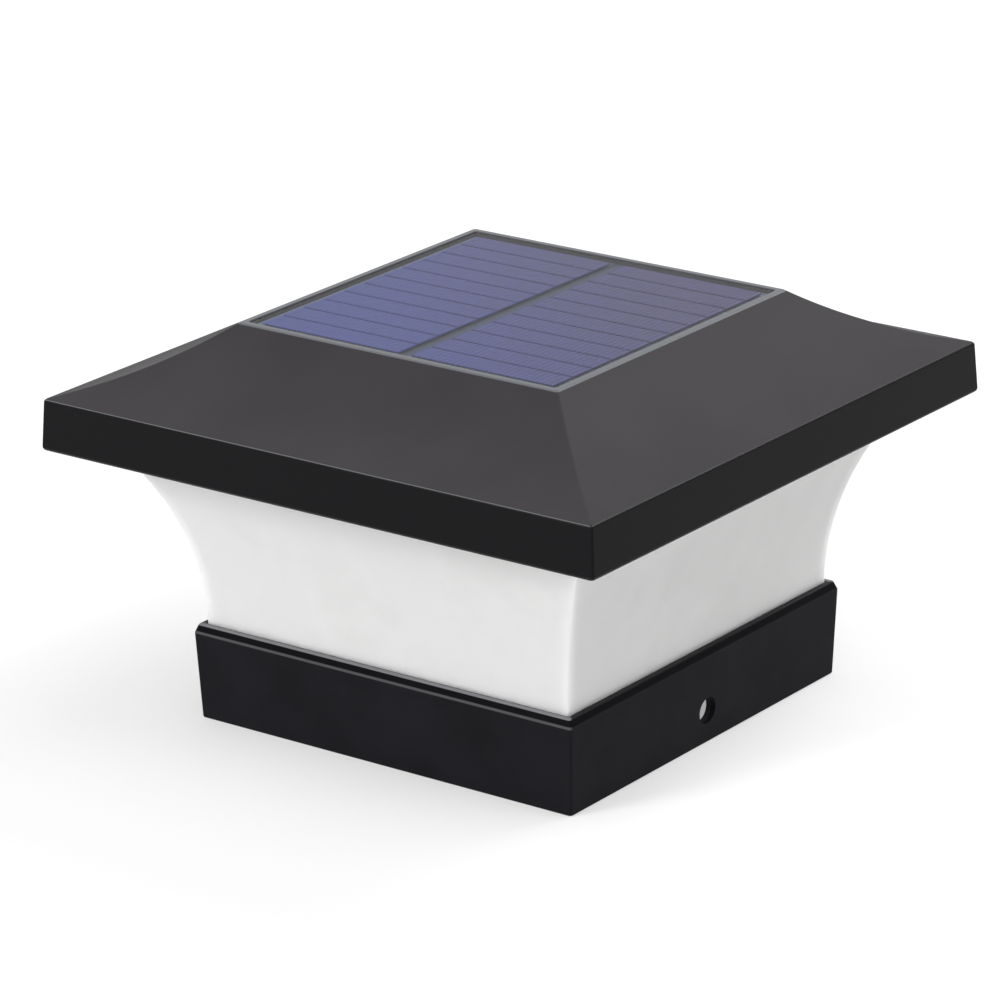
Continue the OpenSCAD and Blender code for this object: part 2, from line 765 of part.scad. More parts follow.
module led() {
    r = led_d / 2;
    translate([0, 0, board_top]) {
        cylinder(r = r + 0.4, h = 1);
        cylinder(r = r, h = led_h - r);
        translate([0, 0, led_h - r]) sphere(r);
    }
    for (p = [-1, 1])
        translate([p * led_pitch / 2, 0, board_z - 1.2]) cylinder(r = 0.3, h = board_t + 1.3);
}

module leds() color("#f2efe2")
    for (x = [-1, 1], y = [-1, 1])
        translate([x * led_x, y * led_y, 0]) led();

module controller_chip() color("#1b1b1c")
    translate([0, -6.6, board_top]) {
        block(2.5, 1.95, 0.15, 1.45);
        for (i = [-1.5 : 1 : 1.5], s = [-1, 1])
            translate([i * 1.27, s * 2.5, 0]) block(0.2, 0.6, 0, 0.5);
    }

module inductor() color("#5a5550")
    translate([-6.5, 6.2, board_top])
        rotate_extrude()
            polygon([[0, 0], [3, 0], [3, 1], [2.1, 1.4], [2.1, 3.6], [3, 4], [3, 5], [0, 5]]);

module capacitor() color("#2c3350")
    translate([6, 6.2, board_top])
        rotate_extrude()
            polygon([[0, 0], [2.5, 0], [2.5, 0.9], [2.25, 1.2], [2.5, 1.5], [2.5, 6.8], [2.2, 7], [0, 7]]);

module resistors() color("#1f1f22")
    for (x = [-7, 7, 10])
        translate([x, -1.5, 0]) block(0.8, 0.45, board_top, 0.5);

// ---------- Power switch ----------

module switch_body() color("#b9bbbf")
    translate([0, -switch_y, 0]) {
        difference() {
            union() {
                block(switch_flange[0] / 2, switch_flange[1] / 2, collar_h, switch_flange[2]);
                block(switch_case[0] / 2, switch_case[1] / 2, collar_h + switch_flange[2], switch_case[2]);
            }
            at_both(switch_hole_x)
                translate([0, 0, collar_h - 1]) cylinder(r = switch_screw_r + 0.25, h = 3);
            block(knob_w / 2 + switch_travel / 2 + slot_gap, knob_w / 2 + slot_gap, collar_h - 1, 2);
            block(slider[0] / 2 + switch_travel / 2 + slot_gap, slider[1] / 2 + slot_gap,
                collar_h + switch_flange[2], slider[2] + 0.4);
        }
        at_both(switch_pad_x)
            block(0.3, 0.7, switch_top, pin_h);
    }

// Stored at its off end, so it travels from -travel/2 to +travel/2
module switch_knob() color("#e4e4e2")
    translate([-switch_travel / 2, -switch_y, 0]) {
        block(knob_w / 2, knob_w / 2, deck_z - 0.6, collar_h + switch_flange[2] + 0.3 - deck_z + 0.6);
        block(slider[0] / 2, slider[1] / 2, collar_h + switch_flange[2] + 0.2, slider[2]);
    }

// ---------- Leads ----------

lead_r = lead_d / 2;
stub = 1;
lead_path = [[terminal_x, lead_half, ceiling_z - sealant_drop - stub],
    [terminal_x + 6, lead_half, ceiling_z - 6], [drop_x - 8, lead_half, ceiling_z - 6.5],
    [drop_x - 1, lead_half, ceiling_z - 10.5], [drop_x, lead_half, reflector_z - 2],
    [drop_x - 1, lead_half, reflector_z - 18], [drop_x - 6, lead_half + 1, board_top + 6],
    [lead_pad_x + 8, lead_pad_y, board_top + 5], [lead_pad_x + 1, lead_pad_y, board_top + 3],
    [lead_pad_x, lead_pad_y, board_top + stub]];

module panel_lead_red() color("#b3261e")
    lead(with_stubs(lead_path, 4, [stub, stub]), lead_r);

module panel_lead_black() color("#1c1c1e")
    mirror([0, 1, 0]) lead(with_stubs(lead_path, 4, [stub, stub]), lead_r);

switch_path = [[switch_pad_x, -switch_y, switch_top + pin_h + stub],
    [switch_pad_x, -switch_y + 4, board_top + 1], [switch_pad_x, switch_pad_y - 5, board_top + 4],
    [switch_pad_x, switch_pad_y - 0.6, board_top + 2.6], [switch_pad_x, switch_pad_y, board_top + stub]];

module switch_leads() color("#26262a")
    for (s = [0, 1])
        mirror([s, 0, 0]) lead(with_stubs(switch_path, 4, [-stub, stub]), lead_r);

// ---------- Screws ----------

module deck_screws() color("#a9abae")
    at_corners(foot_boss_at)
        translate([0, 0, stop_z + screw_head_h + 0.1])
            screw(screw_r, stop_t - screw_head_h - 0.1 + foot_screw_l, screw_head_r, screw_head_h);

module roof_screws() color("#a9abae")
    at_corners(roof_screw_at)
        translate([0, 0, flange_z])
            screw(screw_r, flange_t + roof_screw_l, screw_head_r - head_gap, small_head_h);

module reflector_screws() color("#a9abae")
    at_corners(reflector_boss_at)
        translate([0, 0, reflector_z])
            screw(screw_r, reflector_t + reflector_screw_l, screw_head_r, small_head_h);

module board_screws() color("#a9abae")
    at_both(board_screw_x)
        translate([0, 0, board_top]) mirror([0, 0, 1])
            screw(board_screw_r, board_t + board_screw_l, board_head_r, board_head_h);

module switch_screws() color("#a9abae")
    translate([0, -switch_y, collar_h + switch_flange[2]])
        at_both(switch_hole_x) mirror([0, 0, 1]) screw(switch_screw_r, switch_flange[2] + 2.2, 1.2, 0.9);

base_collar();
lower_seal();
diffuser();
upper_seal();
roof_cover();
panel_adhesive();
panel_backing();
solar_cells();
panel_cover();
terminal_sealant();
reflector();
battery();
battery_spring();
negative_contact();
positive_contact();
battery_door();
control_board();
leds();
controller_chip();
inductor();
capacitor();
resistors();
switch_body();
switch_knob();
panel_lead_red();
panel_lead_black();
switch_leads();
deck_screws();
roof_screws();
reflector_screws();
board_screws();
switch_screws();
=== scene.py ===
"""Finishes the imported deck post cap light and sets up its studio. Metres, +Z up."""

import math

import bmesh
import bpy
from bpy.props import FloatProperty, FloatVectorProperty, IntProperty, PointerProperty
from mathutils import Euler, Matrix, Vector


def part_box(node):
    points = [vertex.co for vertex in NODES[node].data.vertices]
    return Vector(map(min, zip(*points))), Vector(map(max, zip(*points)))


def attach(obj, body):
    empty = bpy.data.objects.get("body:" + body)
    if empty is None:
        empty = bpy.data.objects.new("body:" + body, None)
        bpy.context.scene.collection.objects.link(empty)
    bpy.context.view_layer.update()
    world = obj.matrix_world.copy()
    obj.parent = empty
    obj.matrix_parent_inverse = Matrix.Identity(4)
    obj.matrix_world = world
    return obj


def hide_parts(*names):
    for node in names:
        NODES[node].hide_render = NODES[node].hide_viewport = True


bl_info = {
    "name": "Deck Post Cap Light",
    "version": (1, 0, 0),
    "blender": (4, 5, 0),
    "location": "View3D > Sidebar > Cap Light",
    "description": "Finishes a solar cap light and lights it in a plain studio",
    "category": "Object",
}

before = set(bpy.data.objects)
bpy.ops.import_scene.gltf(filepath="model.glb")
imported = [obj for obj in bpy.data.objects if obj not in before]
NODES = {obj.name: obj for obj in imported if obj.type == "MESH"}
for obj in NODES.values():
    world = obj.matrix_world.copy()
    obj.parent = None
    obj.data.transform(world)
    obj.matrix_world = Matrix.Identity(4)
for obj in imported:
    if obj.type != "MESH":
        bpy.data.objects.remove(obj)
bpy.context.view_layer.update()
MM = 0.001
HOUSING = "housing"
MERGE_REACH = 0.002 * MM  # corners of a CAD mesh that lie closer than this are one
FINE_GRAIN, FINE_DEPTH = 0.4 * MM, 0.01 * MM
CLOUD_DETAIL, FINE_DETAIL = 4.0, 3.0  # octaves of noise
CLOUD_LOW, CLOUD_HIGH = 0.3, 0.7  # most of the soft noise lies between these
LINE_CORE, LINE_EDGE = 0.3, 0.7  # shares of its width from the middle where a line fades
OUTER_BLEND, CORNER_BLEND = 0.4 * MM, 1 * MM  # over which an outer wall, and a side, begins


def length(name, description, default):
    return FloatProperty(name=name, description=description, default=default, unit="LENGTH",
                         precision=5, min=0.0)


def share(name, description, default):
    return FloatProperty(name=name, description=description, default=default, min=0.0, max=1.0,
                         subtype="FACTOR")


def paint(name, description, default):
    return FloatVectorProperty(name=name, description=description, default=default, size=3,
                               min=0.0, max=1.0, subtype="COLOR")


def power(name, description, default):
    return FloatProperty(name=name, description=description, default=default, min=0.0, unit="POWER")


def point(name, description, default):
    return FloatVectorProperty(name=name, description=description, default=default, size=3,
                               subtype="TRANSLATION")


# ---------- Node helpers ----------


def add(tree, kind, inputs=None, **settings):
    """Adds a node, sets it up, and links or fills its inputs."""
    node = tree.nodes.new(kind)
    for key, value in settings.items():
        setattr(node, key, value)
    for key, value in (inputs or {}).items():
        if isinstance(value, bpy.types.NodeSocket):
            tree.links.new(value, node.inputs[key])
        else:
            node.inputs[key].default_value = value
    return node


def math_node(tree, operation, *values):
    return add(tree, "ShaderNodeMath", dict(enumerate(values)), operation=operation).outputs[0]


def product(tree, first, second):
    return math_node(tree, "MULTIPLY", first, second)


def between(tree, value, low, high, start, end):
    """Maps value from low..high onto start..end, smoothly and clamped."""
    return add(tree, "ShaderNodeMapRange", {"Value": value, "From Min": low, "From Max": high,
                                            "To Min": start, "To Max": end},
               interpolation_type="SMOOTHSTEP").outputs["Result"]


def past(tree, value, edge, blend, start=0.0, end=1.0):
    """Steps softly from start to end, over this blend, where value passes the edge."""
    return between(tree, value, edge - blend / 2, edge + blend / 2, start, end)


def blend_colour(tree, factor, first, second):
    node = add(tree, "ShaderNodeMix", data_type="RGBA")
    tree.links.new(factor, node.inputs["Factor"])
    for socket, value in zip([s for s in node.inputs if s.type == "RGBA"], (first, second)):
        if isinstance(value, bpy.types.NodeSocket):
            tree.links.new(value, socket)
        else:
            socket.default_value = (*value, 1.0)
    return next(s for s in node.outputs if s.type == "RGBA")


def speckle(tree, place, size, detail=2.0):
    return add(tree, "ShaderNodeTexNoise", {"Vector": place, "Scale": 1 / size, "Detail": detail},
               ).outputs[0]


def in_clouds(tree, clouds, start=0.0, end=1.0):
    """Maps soft noise onto start..end."""
    return between(tree, clouds, CLOUD_LOW, CLOUD_HIGH, start, end)


def cloudy(tree, clouds, value, spread=0.08):
    """The value, from lower to higher by this share as the clouds go."""
    return in_clouds(tree, clouds, value * (1 - spread), value * (1 + spread))


def shade(colour, factor):
    return tuple(min(1.0, c * factor) for c in colour)


def mottled(tree, factor, colour, spread):
    """The colour, from darker to lighter by this share as the factor grows."""
    return blend_colour(tree, factor, shade(colour, 1 - spread), shade(colour, 1 + spread))


def axes_of(tree, vector):
    return add(tree, "ShaderNodeSeparateXYZ", {0: vector}).outputs


def start_material(name, **values):
    """A material with one principled shader and its object coordinates."""
    material = bpy.data.materials.new(name)
    material.use_nodes = True
    tree = material.node_tree
    shader = tree.nodes["Principled BSDF"]
    for key, value in values.items():
        shader.inputs[key.replace("_", " ")].default_value = value
    place = add(tree, "ShaderNodeTexCoord").outputs["Object"]
    return material, tree, shader, place


def feed(tree, shader, **values):
    """Links each value to the shader's input of that name."""
    for key, value in values.items():
        tree.links.new(value, shader.inputs[key.replace("_", " ")])


def bump(tree, shader, height, depth):
    node = add(tree, "ShaderNodeBump", {"Height": height, "Distance": depth, "Strength": 1.0})
    feed(tree, shader, Normal=node.outputs["Normal"])


def height_line(tree, height, centre, width):
    """1 within a level stripe of this width, with soft edges."""
    off = math_node(tree, "ABSOLUTE", math_node(tree, "SUBTRACT", height, centre))
    return between(tree, off, width * LINE_CORE, width * LINE_EDGE, 1.0, 0.0)


def outer_share(tree, axes, reach, sides=1.0):
    """1 further out than reach on the front and back, this share of it on the sides, 0 inside."""
    across, along = (math_node(tree, "ABSOLUTE", axes[key]) for key in "XY")
    outside = past(tree, math_node(tree, "MAXIMUM", across, along), reach, OUTER_BLEND)
    lead = math_node(tree, "SUBTRACT", along, across)
    return product(tree, outside, between(tree, lead, -CORNER_BLEND, 0.0, sides, 1.0))


def moulded(name, colour, roughness, grain=FINE_GRAIN, depth=FINE_DEPTH, mottle=0.12,
            cloud=18 * MM, **values):
    """Moulded or painted finish: soft clouds in colour and gloss, and a fine grain."""
    material, tree, shader, place = start_material(name, **values)
    clouds = speckle(tree, place, cloud, CLOUD_DETAIL)
    feed(tree, shader, Base_Color=mottled(tree, in_clouds(tree, clouds), colour, mottle),
         Roughness=cloudy(tree, clouds, roughness))
    bump(tree, shader, speckle(tree, place, grain), depth)
    return material


# ---------- Mesh helpers ----------


def new_object(name, data):
    thing = bpy.data.objects.new(name, data)
    bpy.context.scene.collection.objects.link(thing)
    return thing


def new_piece(name, mesh, node, body=HOUSING):
    """Puts a finished mesh in the place of a CAD node."""
    piece = new_object(name, mesh)
    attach(piece, body)
    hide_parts(node)


def plain_mesh(piece):
    """The mesh that a piece has with its modifiers applied."""
    bpy.context.view_layer.update()
    graph = bpy.context.evaluated_depsgraph_get()
    return bpy.data.meshes.new_from_object(piece.evaluated_get(graph))


def smooth_copy(node, name, material, body=HOUSING, sharp=32.0):
    """Puts a merged copy of a CAD node in its place, smooth across its small roundings."""
    shape = bmesh.new()
    shape.from_mesh(NODES[node].data)
    bmesh.ops.remove_doubles(shape, verts=shape.verts, dist=MERGE_REACH)
    mesh = bpy.data.meshes.new(name)
    shape.to_mesh(mesh)
    shape.free()
    if "custom_normal" in mesh.attributes:
        mesh.attributes.remove(mesh.attributes["custom_normal"])
    mesh.shade_smooth()
    mesh.set_sharp_from_angle(angle=math.radians(sharp))
    mesh.materials.clear()
    mesh.materials.append(material)
    piece = new_object(name, mesh)
    weighted = piece.modifiers.new("Weighted", "WEIGHTED_NORMAL")
    weighted.keep_sharp = True
    weighted.mode = "FACE_AREA"
    plain = plain_mesh(piece)
    bpy.data.objects.remove(piece)
    new_piece(name, plain, node, body=body)


def finish_node(node, material):
    """Gives a CAD node that keeps its own mesh a better material."""
    for slot in NODES[node].material_slots:
        slot.material = material


def start_tree(name, sockets):
    """A geometry tree with named inputs; returns it with its input and output nodes."""
    tree = bpy.data.node_groups.new(name, "GeometryNodeTree")
    for label, kind, default in sockets:
        socket = tree.interface.new_socket(label, in_out="INPUT", socket_type="NodeSocket" + kind)
        if default is not None:
            socket.default_value = default
    tree.interface.new_socket("Material", in_out="INPUT", socket_type="NodeSocketMaterial")
    tree.interface.new_socket("Geometry", in_out="OUTPUT", socket_type="NodeSocketGeometry")
    return tree, add(tree, "NodeGroupInput").outputs, add(tree, "NodeGroupOutput")


def end_tree(tree, inputs, output, geometry):
    """Realizes the copies, sets the material and closes the tree."""
    real = add(tree, "GeometryNodeRealizeInstances", {"Geometry": geometry})
    done = add(tree, "GeometryNodeSetMaterial",
               {"Geometry": real.outputs[0], "Material": inputs["Material"]})
    tree.links.new(done.outputs[0], output.inputs["Geometry"])


def grown(name, tree, material, **values):
    """The plain mesh that a geometry tree makes from these inputs."""
    piece = new_object(name, bpy.data.meshes.new(name))
    build = piece.modifiers.new("Build", "NODES")
    build.node_group = tree
    labels = {s.name: s.identifier for s in tree.interface.items_tree if s.in_out == "INPUT"}
    for key, value in values.items():
        build[labels[key.replace("_", " ")]] = value
    build[labels["Material"]] = material
    plain = plain_mesh(piece)
    piece.modifiers.remove(build)
    bpy.data.objects.remove(piece)
    if not plain.polygons:
        raise RuntimeError(f"{name} came out empty")
    return plain


def vector_of(tree, x=0.0, y=0.0, z=0.0):
    return add(tree, "ShaderNodeCombineXYZ", {"X": x, "Y": y, "Z": z}).outputs[0]


def moved(tree, geometry, offset, turn=None):
    inputs = {"Geometry": geometry, "Translation": offset}
    if turn is not None:
        inputs["Rotation"] = turn
    return add(tree, "GeometryNodeTransform", inputs).outputs[0]


def point_grid(tree, inputs):
    """A grid with one vertex for each copy."""
    return add(tree, "GeometryNodeMeshGrid", {
        "Size X": inputs["Span X"], "Size Y": inputs["Span Y"],
        "Vertices X": inputs["Columns"], "Vertices Y": inputs["Rows"]}).outputs[0]


# ---------- Stage ----------


UNDER_PLACE, UNDER_SPAN = (0.0, 0.0, -0.8), 0.8
HORIZON_BLEND = 0.04  # height over which the sky's soft light starts, on a sphere of radius 1
FILM_WIDTH = 36.0  # in millimetres, as the lens is
CLIP_NEAR, CLIP_FAR = 0.01, 20.0
WHITE = (1.0, 1.0, 1.0, 1.0)


class StageSettings(bpy.types.PropertyGroup):
    floor_span: length("Floor span", "Side of the square floor", 6.0)
    floor_colour: paint("Floor colour", "Colour that the floor throws back on the light",
                        (0.5, 0.5, 0.5))
    floor_glow: share("Floor glow", "White that the background adds to the floor's own light", 0.38)
    sky: share("Sky", "Strength of the soft light from above and all round", 0.75)
    key_power: power("Key power", "Power of the lamp at the front left", 13.5)
    key_place: point("Key place", "Position of the lamp at the front left", (-0.55, -1.3, 0.75))
    key_span: length("Key span", "Side of the lamp at the front left", 0.45)
    fill_power: power("Fill power", "Power of the lamp at the right", 7.0)
    fill_place: point("Fill place", "Position of the lamp at the right", (0.95, 0.1, 1.45))
    fill_span: length("Fill span", "Side of the lamp at the right", 0.8)
    back_power: power("Back power", "Power of the lamp behind the light", 15.0)
    back_place: point("Back place", "Position of the lamp behind", (0.35, 1.15, 1.2))
    back_span: length("Back span", "Side of the lamp behind", 0.8)
    under_power: power("Under power", "Power of the lamp that shows the underside", 5.0)
    camera_place: point("Camera place", "Position of the camera", (0.70346, -0.94322, 0.46628))
    camera_aim: point("Camera aim", "Point the camera looks at", (0.0, 0.0, 0.045))
    camera_roll: FloatProperty(name="Camera roll", description="Turn of the camera about its view",
                               default=math.radians(-0.9465), subtype="ANGLE")
    camera_lens: FloatProperty(name="Camera lens", description="Focal length in millimetres",
                               default=187.0, subtype="DISTANCE_CAMERA")
    camera_shift: FloatVectorProperty(name="Camera shift", size=2, default=(-0.01637, 0.0194),
                                      description="Shift as a share of the frame")


def aimed(name, data, place, target, roll=0.0):
    """An object that looks from its place at the target, turned by roll about its view."""
    thing = new_object(name, data)
    aim = (Vector(target) - Vector(place)).to_track_quat("-Z", "Y").to_matrix().to_4x4()
    thing.matrix_world = Matrix.Translation(place) @ aim @ Matrix.Rotation(roll, 4, "Z")
    return thing


def background_rays(tree):
    """1 for the rays that show the background: from the camera, off gloss and through glass."""
    path = add(tree, "ShaderNodeLightPath").outputs
    return math_node(tree, "MAXIMUM", path["Is Camera Ray"],
                     math_node(tree, "MAXIMUM", path["Is Glossy Ray"], path["Is Transmission Ray"]))


def floor_finish(colour, glow):
    """White to the camera but for the shadow, and clear from below so the underside shows."""
    material = bpy.data.materials.new("Studio floor")
    material.use_nodes = True
    tree = material.node_tree
    tree.nodes.clear()
    matt = add(tree, "ShaderNodeBsdfDiffuse", {"Color": (*colour, 1.0)})
    glare = product(tree, background_rays(tree), glow)
    lift = add(tree, "ShaderNodeEmission", {"Strength": glare})
    face = add(tree, "ShaderNodeAddShader", {0: matt.outputs[0], 1: lift.outputs[0]})
    behind = add(tree, "ShaderNodeNewGeometry").outputs["Backfacing"]
    clear = add(tree, "ShaderNodeBsdfTransparent")
    shadow = add(tree, "ShaderNodeLightPath").outputs["Is Shadow Ray"]
    pick = add(tree, "ShaderNodeMixShader", {0: math_node(tree, "MAXIMUM", behind, shadow),
                                             1: face.outputs[0], 2: clear.outputs[0]})
    add(tree, "ShaderNodeOutputMaterial", {"Surface": pick.outputs[0]})
    return material


def studio_sky(strength):
    """White as the background; soft light from above the horizon to everything else."""
    world = bpy.data.worlds.new("Studio sky")
    world.use_nodes = True
    tree = world.node_tree
    tree.nodes.clear()
    height = axes_of(tree, add(tree, "ShaderNodeTexCoord").outputs["Generated"])["Z"]
    above = past(tree, height, 0.0, HORIZON_BLEND, 0.0, strength)
    strongest = math_node(tree, "MAXIMUM", background_rays(tree), above)
    glow = add(tree, "ShaderNodeBackground", {"Color": WHITE, "Strength": strongest})
    add(tree, "ShaderNodeOutputWorld", {"Surface": glow.outputs[0]})
    return world


class CAPLIGHT_OT_stage(bpy.types.Operator):
    """Sets up the floor, the lamps, the sky and the camera"""

    bl_idname = "caplight.stage"
    bl_label = "Studio"

    def execute(self, context):
        scene, settings = context.scene, context.scene.cap_stage
        scene.view_settings.view_transform = "Standard"
        half = settings.floor_span / 2
        corners = [(-half, -half, 0), (half, -half, 0), (half, half, 0), (-half, half, 0)]
        mesh = bpy.data.meshes.new("studio_floor")
        mesh.from_pydata(corners, [], [(0, 1, 2, 3)])
        mesh.materials.append(floor_finish(settings.floor_colour, settings.floor_glow))
        new_object("studio_floor", mesh)
        scene.world = studio_sky(settings.sky)
        for name, watts, place, span in (
                ("key_lamp", settings.key_power, settings.key_place, settings.key_span),
                ("fill_lamp", settings.fill_power, settings.fill_place, settings.fill_span),
                ("back_lamp", settings.back_power, settings.back_place, settings.back_span),
                ("under_lamp", settings.under_power, UNDER_PLACE, UNDER_SPAN)):
            lamp = bpy.data.lights.new(name, "AREA")
            lamp.energy = watts
            lamp.size = span
            aimed(name, lamp, place, settings.camera_aim)
        camera = bpy.data.cameras.new("photo_camera")
        camera.lens = settings.camera_lens
        camera.sensor_width = FILM_WIDTH
        camera.shift_x, camera.shift_y = settings.camera_shift
        camera.clip_start, camera.clip_end = CLIP_NEAR, CLIP_FAR
        scene.camera = aimed("photo_camera", camera, settings.camera_place, settings.camera_aim,
                             settings.camera_roll)
        return {"FINISHED"}


# ---------- Roof ----------


POLISH_BLEND, RIM_BLEND, LIP_BLEND = 0.25 * MM, 0.1 * MM, 0.3 * MM
EAVE_REACH = 79 * MM  # the painted highlight on the eave lies further out than this
EAVE_SIDE_SHARE = 0.1  # how much of it shows on the two sides
SLOPE_CLOUD, SLOPE_MOTTLE = 30 * MM, 0.07
SLOPE_ROUGHNESS = (0.47, 0.5)
POLISH = 0.27  # how much less rough the edge band and the rim are


class RoofSettings(bpy.types.PropertyGroup):
    slope_colour: paint("Slope colour", "Colour of the fine-grained slopes",
                        (0.038, 0.0355, 0.0385))
    band_colour: paint("Band colour", "Colour of the polished edge band", (0.009, 0.0086, 0.0095))
    # Painted reflection: the rim is the roof's black plastic, drawn lighter for the sky it reflects
    rim_reflection_colour: paint("Rim colour", "Colour of the flat rim round the panel", (0.12, 0.125, 0.135))
    # Painted reflection: the band's lower lip drawn lighter for the floor it reflects
    lip_reflection_colour: paint("Lip colour", "Colour of the edge band's rounded lip", (0.022, 0.021, 0.021))
    grain: length("Grain", "Size of the slope's grain", 0.45 * MM)
    grain_depth: length("Grain depth", "Depth of the slope's grain", 0.035 * MM)
    polish_height: length("Polish height", "Height of the edge band's upper end", 83.1 * MM)
    rim_height: length("Rim height", "Height above which the rim is polished", 98.75 * MM)
    lip_height: length("Lip height", "Height of the lip's upper end", 71.2 * MM)
    # Painted highlight: a lighter line along the eave's rounding in place of the key lamp's
    # reflection, mostly on the front and back
    eave_highlight_colour: paint("Eave colour", "Colour of the worn edge above the edge band",
                       (0.17, 0.17, 0.175))
    eave_height: length("Eave height", "Height of the worn edge", 82.98 * MM)
    eave_width: length("Eave width", "Width of the worn edge", 0.4 * MM)


def roof_finish(settings):
    """Grained black slopes between a smooth, glossier edge band and rim, with painted reflections
    on the rim and the band's lip and a painted highlight on the eave.
    """
    material, tree, shader, place = start_material("Roof plastic", Specular_IOR_Level=0.04)
    axes = axes_of(tree, place)
    height = axes["Z"]
    top, rim_top, lip_top = settings.polish_height, settings.rim_height, settings.lip_height
    above_band = between(tree, height, top - POLISH_BLEND, top, 0.0, 1.0)
    rim = between(tree, height, rim_top - RIM_BLEND, rim_top, 0.0, 1.0)
    lip = between(tree, height, lip_top - LIP_BLEND, lip_top, 1.0, 0.0)
    grained = math_node(tree, "SUBTRACT", above_band, rim)
    clouds = in_clouds(tree, speckle(tree, place, SLOPE_CLOUD, CLOUD_DETAIL))
    slopes = mottled(tree, clouds, settings.slope_colour, SLOPE_MOTTLE)
    # Painted reflection: the band's lower lip is lighter than the rest of the band
    band = blend_colour(tree, lip, settings.band_colour[:], settings.lip_reflection_colour[:])
    body = blend_colour(tree, above_band, band, slopes)
    # Painted highlight along the eave, strongest on the front and back
    eave = product(tree, height_line(tree, height, settings.eave_height, settings.eave_width),
                   outer_share(tree, axes, EAVE_REACH, EAVE_SIDE_SHARE))
    body = blend_colour(tree, eave, body, settings.eave_highlight_colour[:])
    gloss = between(tree, clouds, 0.0, 1.0, *SLOPE_ROUGHNESS)
    smooth = between(tree, grained, 0.0, 1.0, POLISH, 0.0)
    # The rim's lighter colour is painted reflection
    feed(tree, shader, Base_Color=blend_colour(tree, rim, body, settings.rim_reflection_colour[:]),
         Roughness=math_node(tree, "SUBTRACT", gloss, smooth))
    bump(tree, shader, product(tree, speckle(tree, place, settings.grain, FINE_DETAIL), grained),
         settings.grain_depth)
    return material


class CAPLIGHT_OT_roof(bpy.types.Operator):
    """Finishes the roof moulding"""

    bl_idname = "caplight.roof"
    bl_label = "Roof"

    def execute(self, context):
        finish = roof_finish(context.scene.cap_roof)
        smooth_copy("roof_cover", "roof_moulding", finish)
        return {"FINISHED"}


# ---------- Solar panel ----------


COLUMNS = 2
DRIFT_REACH = 70 * MM  # X plus Y at which the cells' drift in colour ends, on either side
FLECK_SIZE, FLECK_DETAIL = 3 * MM, 5.0
FLECK_LOW, FLECK_HIGH, FLECK_SHARE, FLECK_GAIN = 0.35, 0.65, 0.15, 1.5
FINGER_CORE, FINGER_EDGE, FINGER_SHARE = 0.04 * MM, 0.1 * MM, 0.35
FINGER_COLOUR = (0.32, 0.33, 0.38)
STRIPE_MARGIN = 0.6 * MM  # how far the dark stripe reaches under the lifted cells
STRIPE_BLEND = 0.2 * MM
BOARD_CLOUD, BOARD_MOTTLE = 6 * MM, 0.15
COVER_GAP = 0.05 * MM  # air between the lifted cells and the cover
COVER_CORNER = 0.6 * MM
RIPPLE, RIPPLE_DEPTH = 1.5 * MM, 0.01 * MM
COVER_IOR, COVER_ROUGHNESS = 1.14, 0.22
COVER_CLEAR, COVER_GLOSS = (0.94, 0.95, 0.97, 1.0), (0.9, 0.9, 0.92, 1.0)
SLAB_SHARP = 20.0  # degrees between two faces, past which their edge stays sharp
CORNER_STEPS, EDGE_STEPS = 5, 2
EDGE_TURN = 0.9  # how much the Z of two faces' normals differs where level meets upright


class PanelSettings(bpy.types.PropertyGroup):
    strips: IntProperty(name="Strips", description="Cell strips in each column", default=11, min=1)
    column_gap: length("Column gap", "Bare stripe between the two columns", 3.8 * MM)
    strip_gap: length("Strip gap", "Gap between neighbouring strips", 0.7 * MM)
    cell_colour: paint("Cell colour", "Colour of the cells", (0.03, 0.039, 0.16))
    tint_colour: paint("Tint colour", "Colour of the cells at the far side", (0.04, 0.03, 0.08))
    backing_colour: paint("Backing colour", "Colour of the backing board", (0.042, 0.05, 0.066))
    # Painted reflection: the border is the same board, drawn paler for the white surroundings its
    # cover reflects
    border_reflection_colour: paint("Border colour", "Colour of the backing board's border",
                         (0.15, 0.168, 0.21))
    border_reach: length("Border reach", "Distance of the border from the middle", 42.1 * MM)
    finger_pitch: length("Finger pitch", "Distance between the cells' silver lines", 1.6 * MM)
    cell_lift: length("Cell lift", "How far the cover's refraction lifts the cells", 0.45 * MM)
    cover_edge: length("Cover edge", "Bevel along the clear cover's edges", 0.2 * MM)


def cell_finish(settings):
    """Blue cells with fine silver fingers and a slow drift in colour."""
    material, tree, shader, place = start_material("Solar cell", Roughness=0.4,
                                                   Specular_IOR_Level=0.06)
    axes = axes_of(tree, place)
    drift = between(tree, math_node(tree, "ADD", axes["X"], axes["Y"]), -DRIFT_REACH, DRIFT_REACH,
                    0.0, 1.0)
    base = blend_colour(tree, drift, settings.cell_colour[:], settings.tint_colour[:])
    flecks = between(tree, speckle(tree, place, FLECK_SIZE, FLECK_DETAIL), FLECK_LOW, FLECK_HIGH,
                     0.0, FLECK_SHARE)
    crystal = blend_colour(tree, flecks, base, shade(settings.cell_colour, FLECK_GAIN))
    wave = math_node(tree, "PINGPONG", axes["X"], settings.finger_pitch / 2)
    finger = between(tree, wave, FINGER_CORE, FINGER_EDGE, FINGER_SHARE, 0.0)
    feed(tree, shader, Base_Color=blend_colour(tree, finger, crystal, FINGER_COLOUR))
    return material


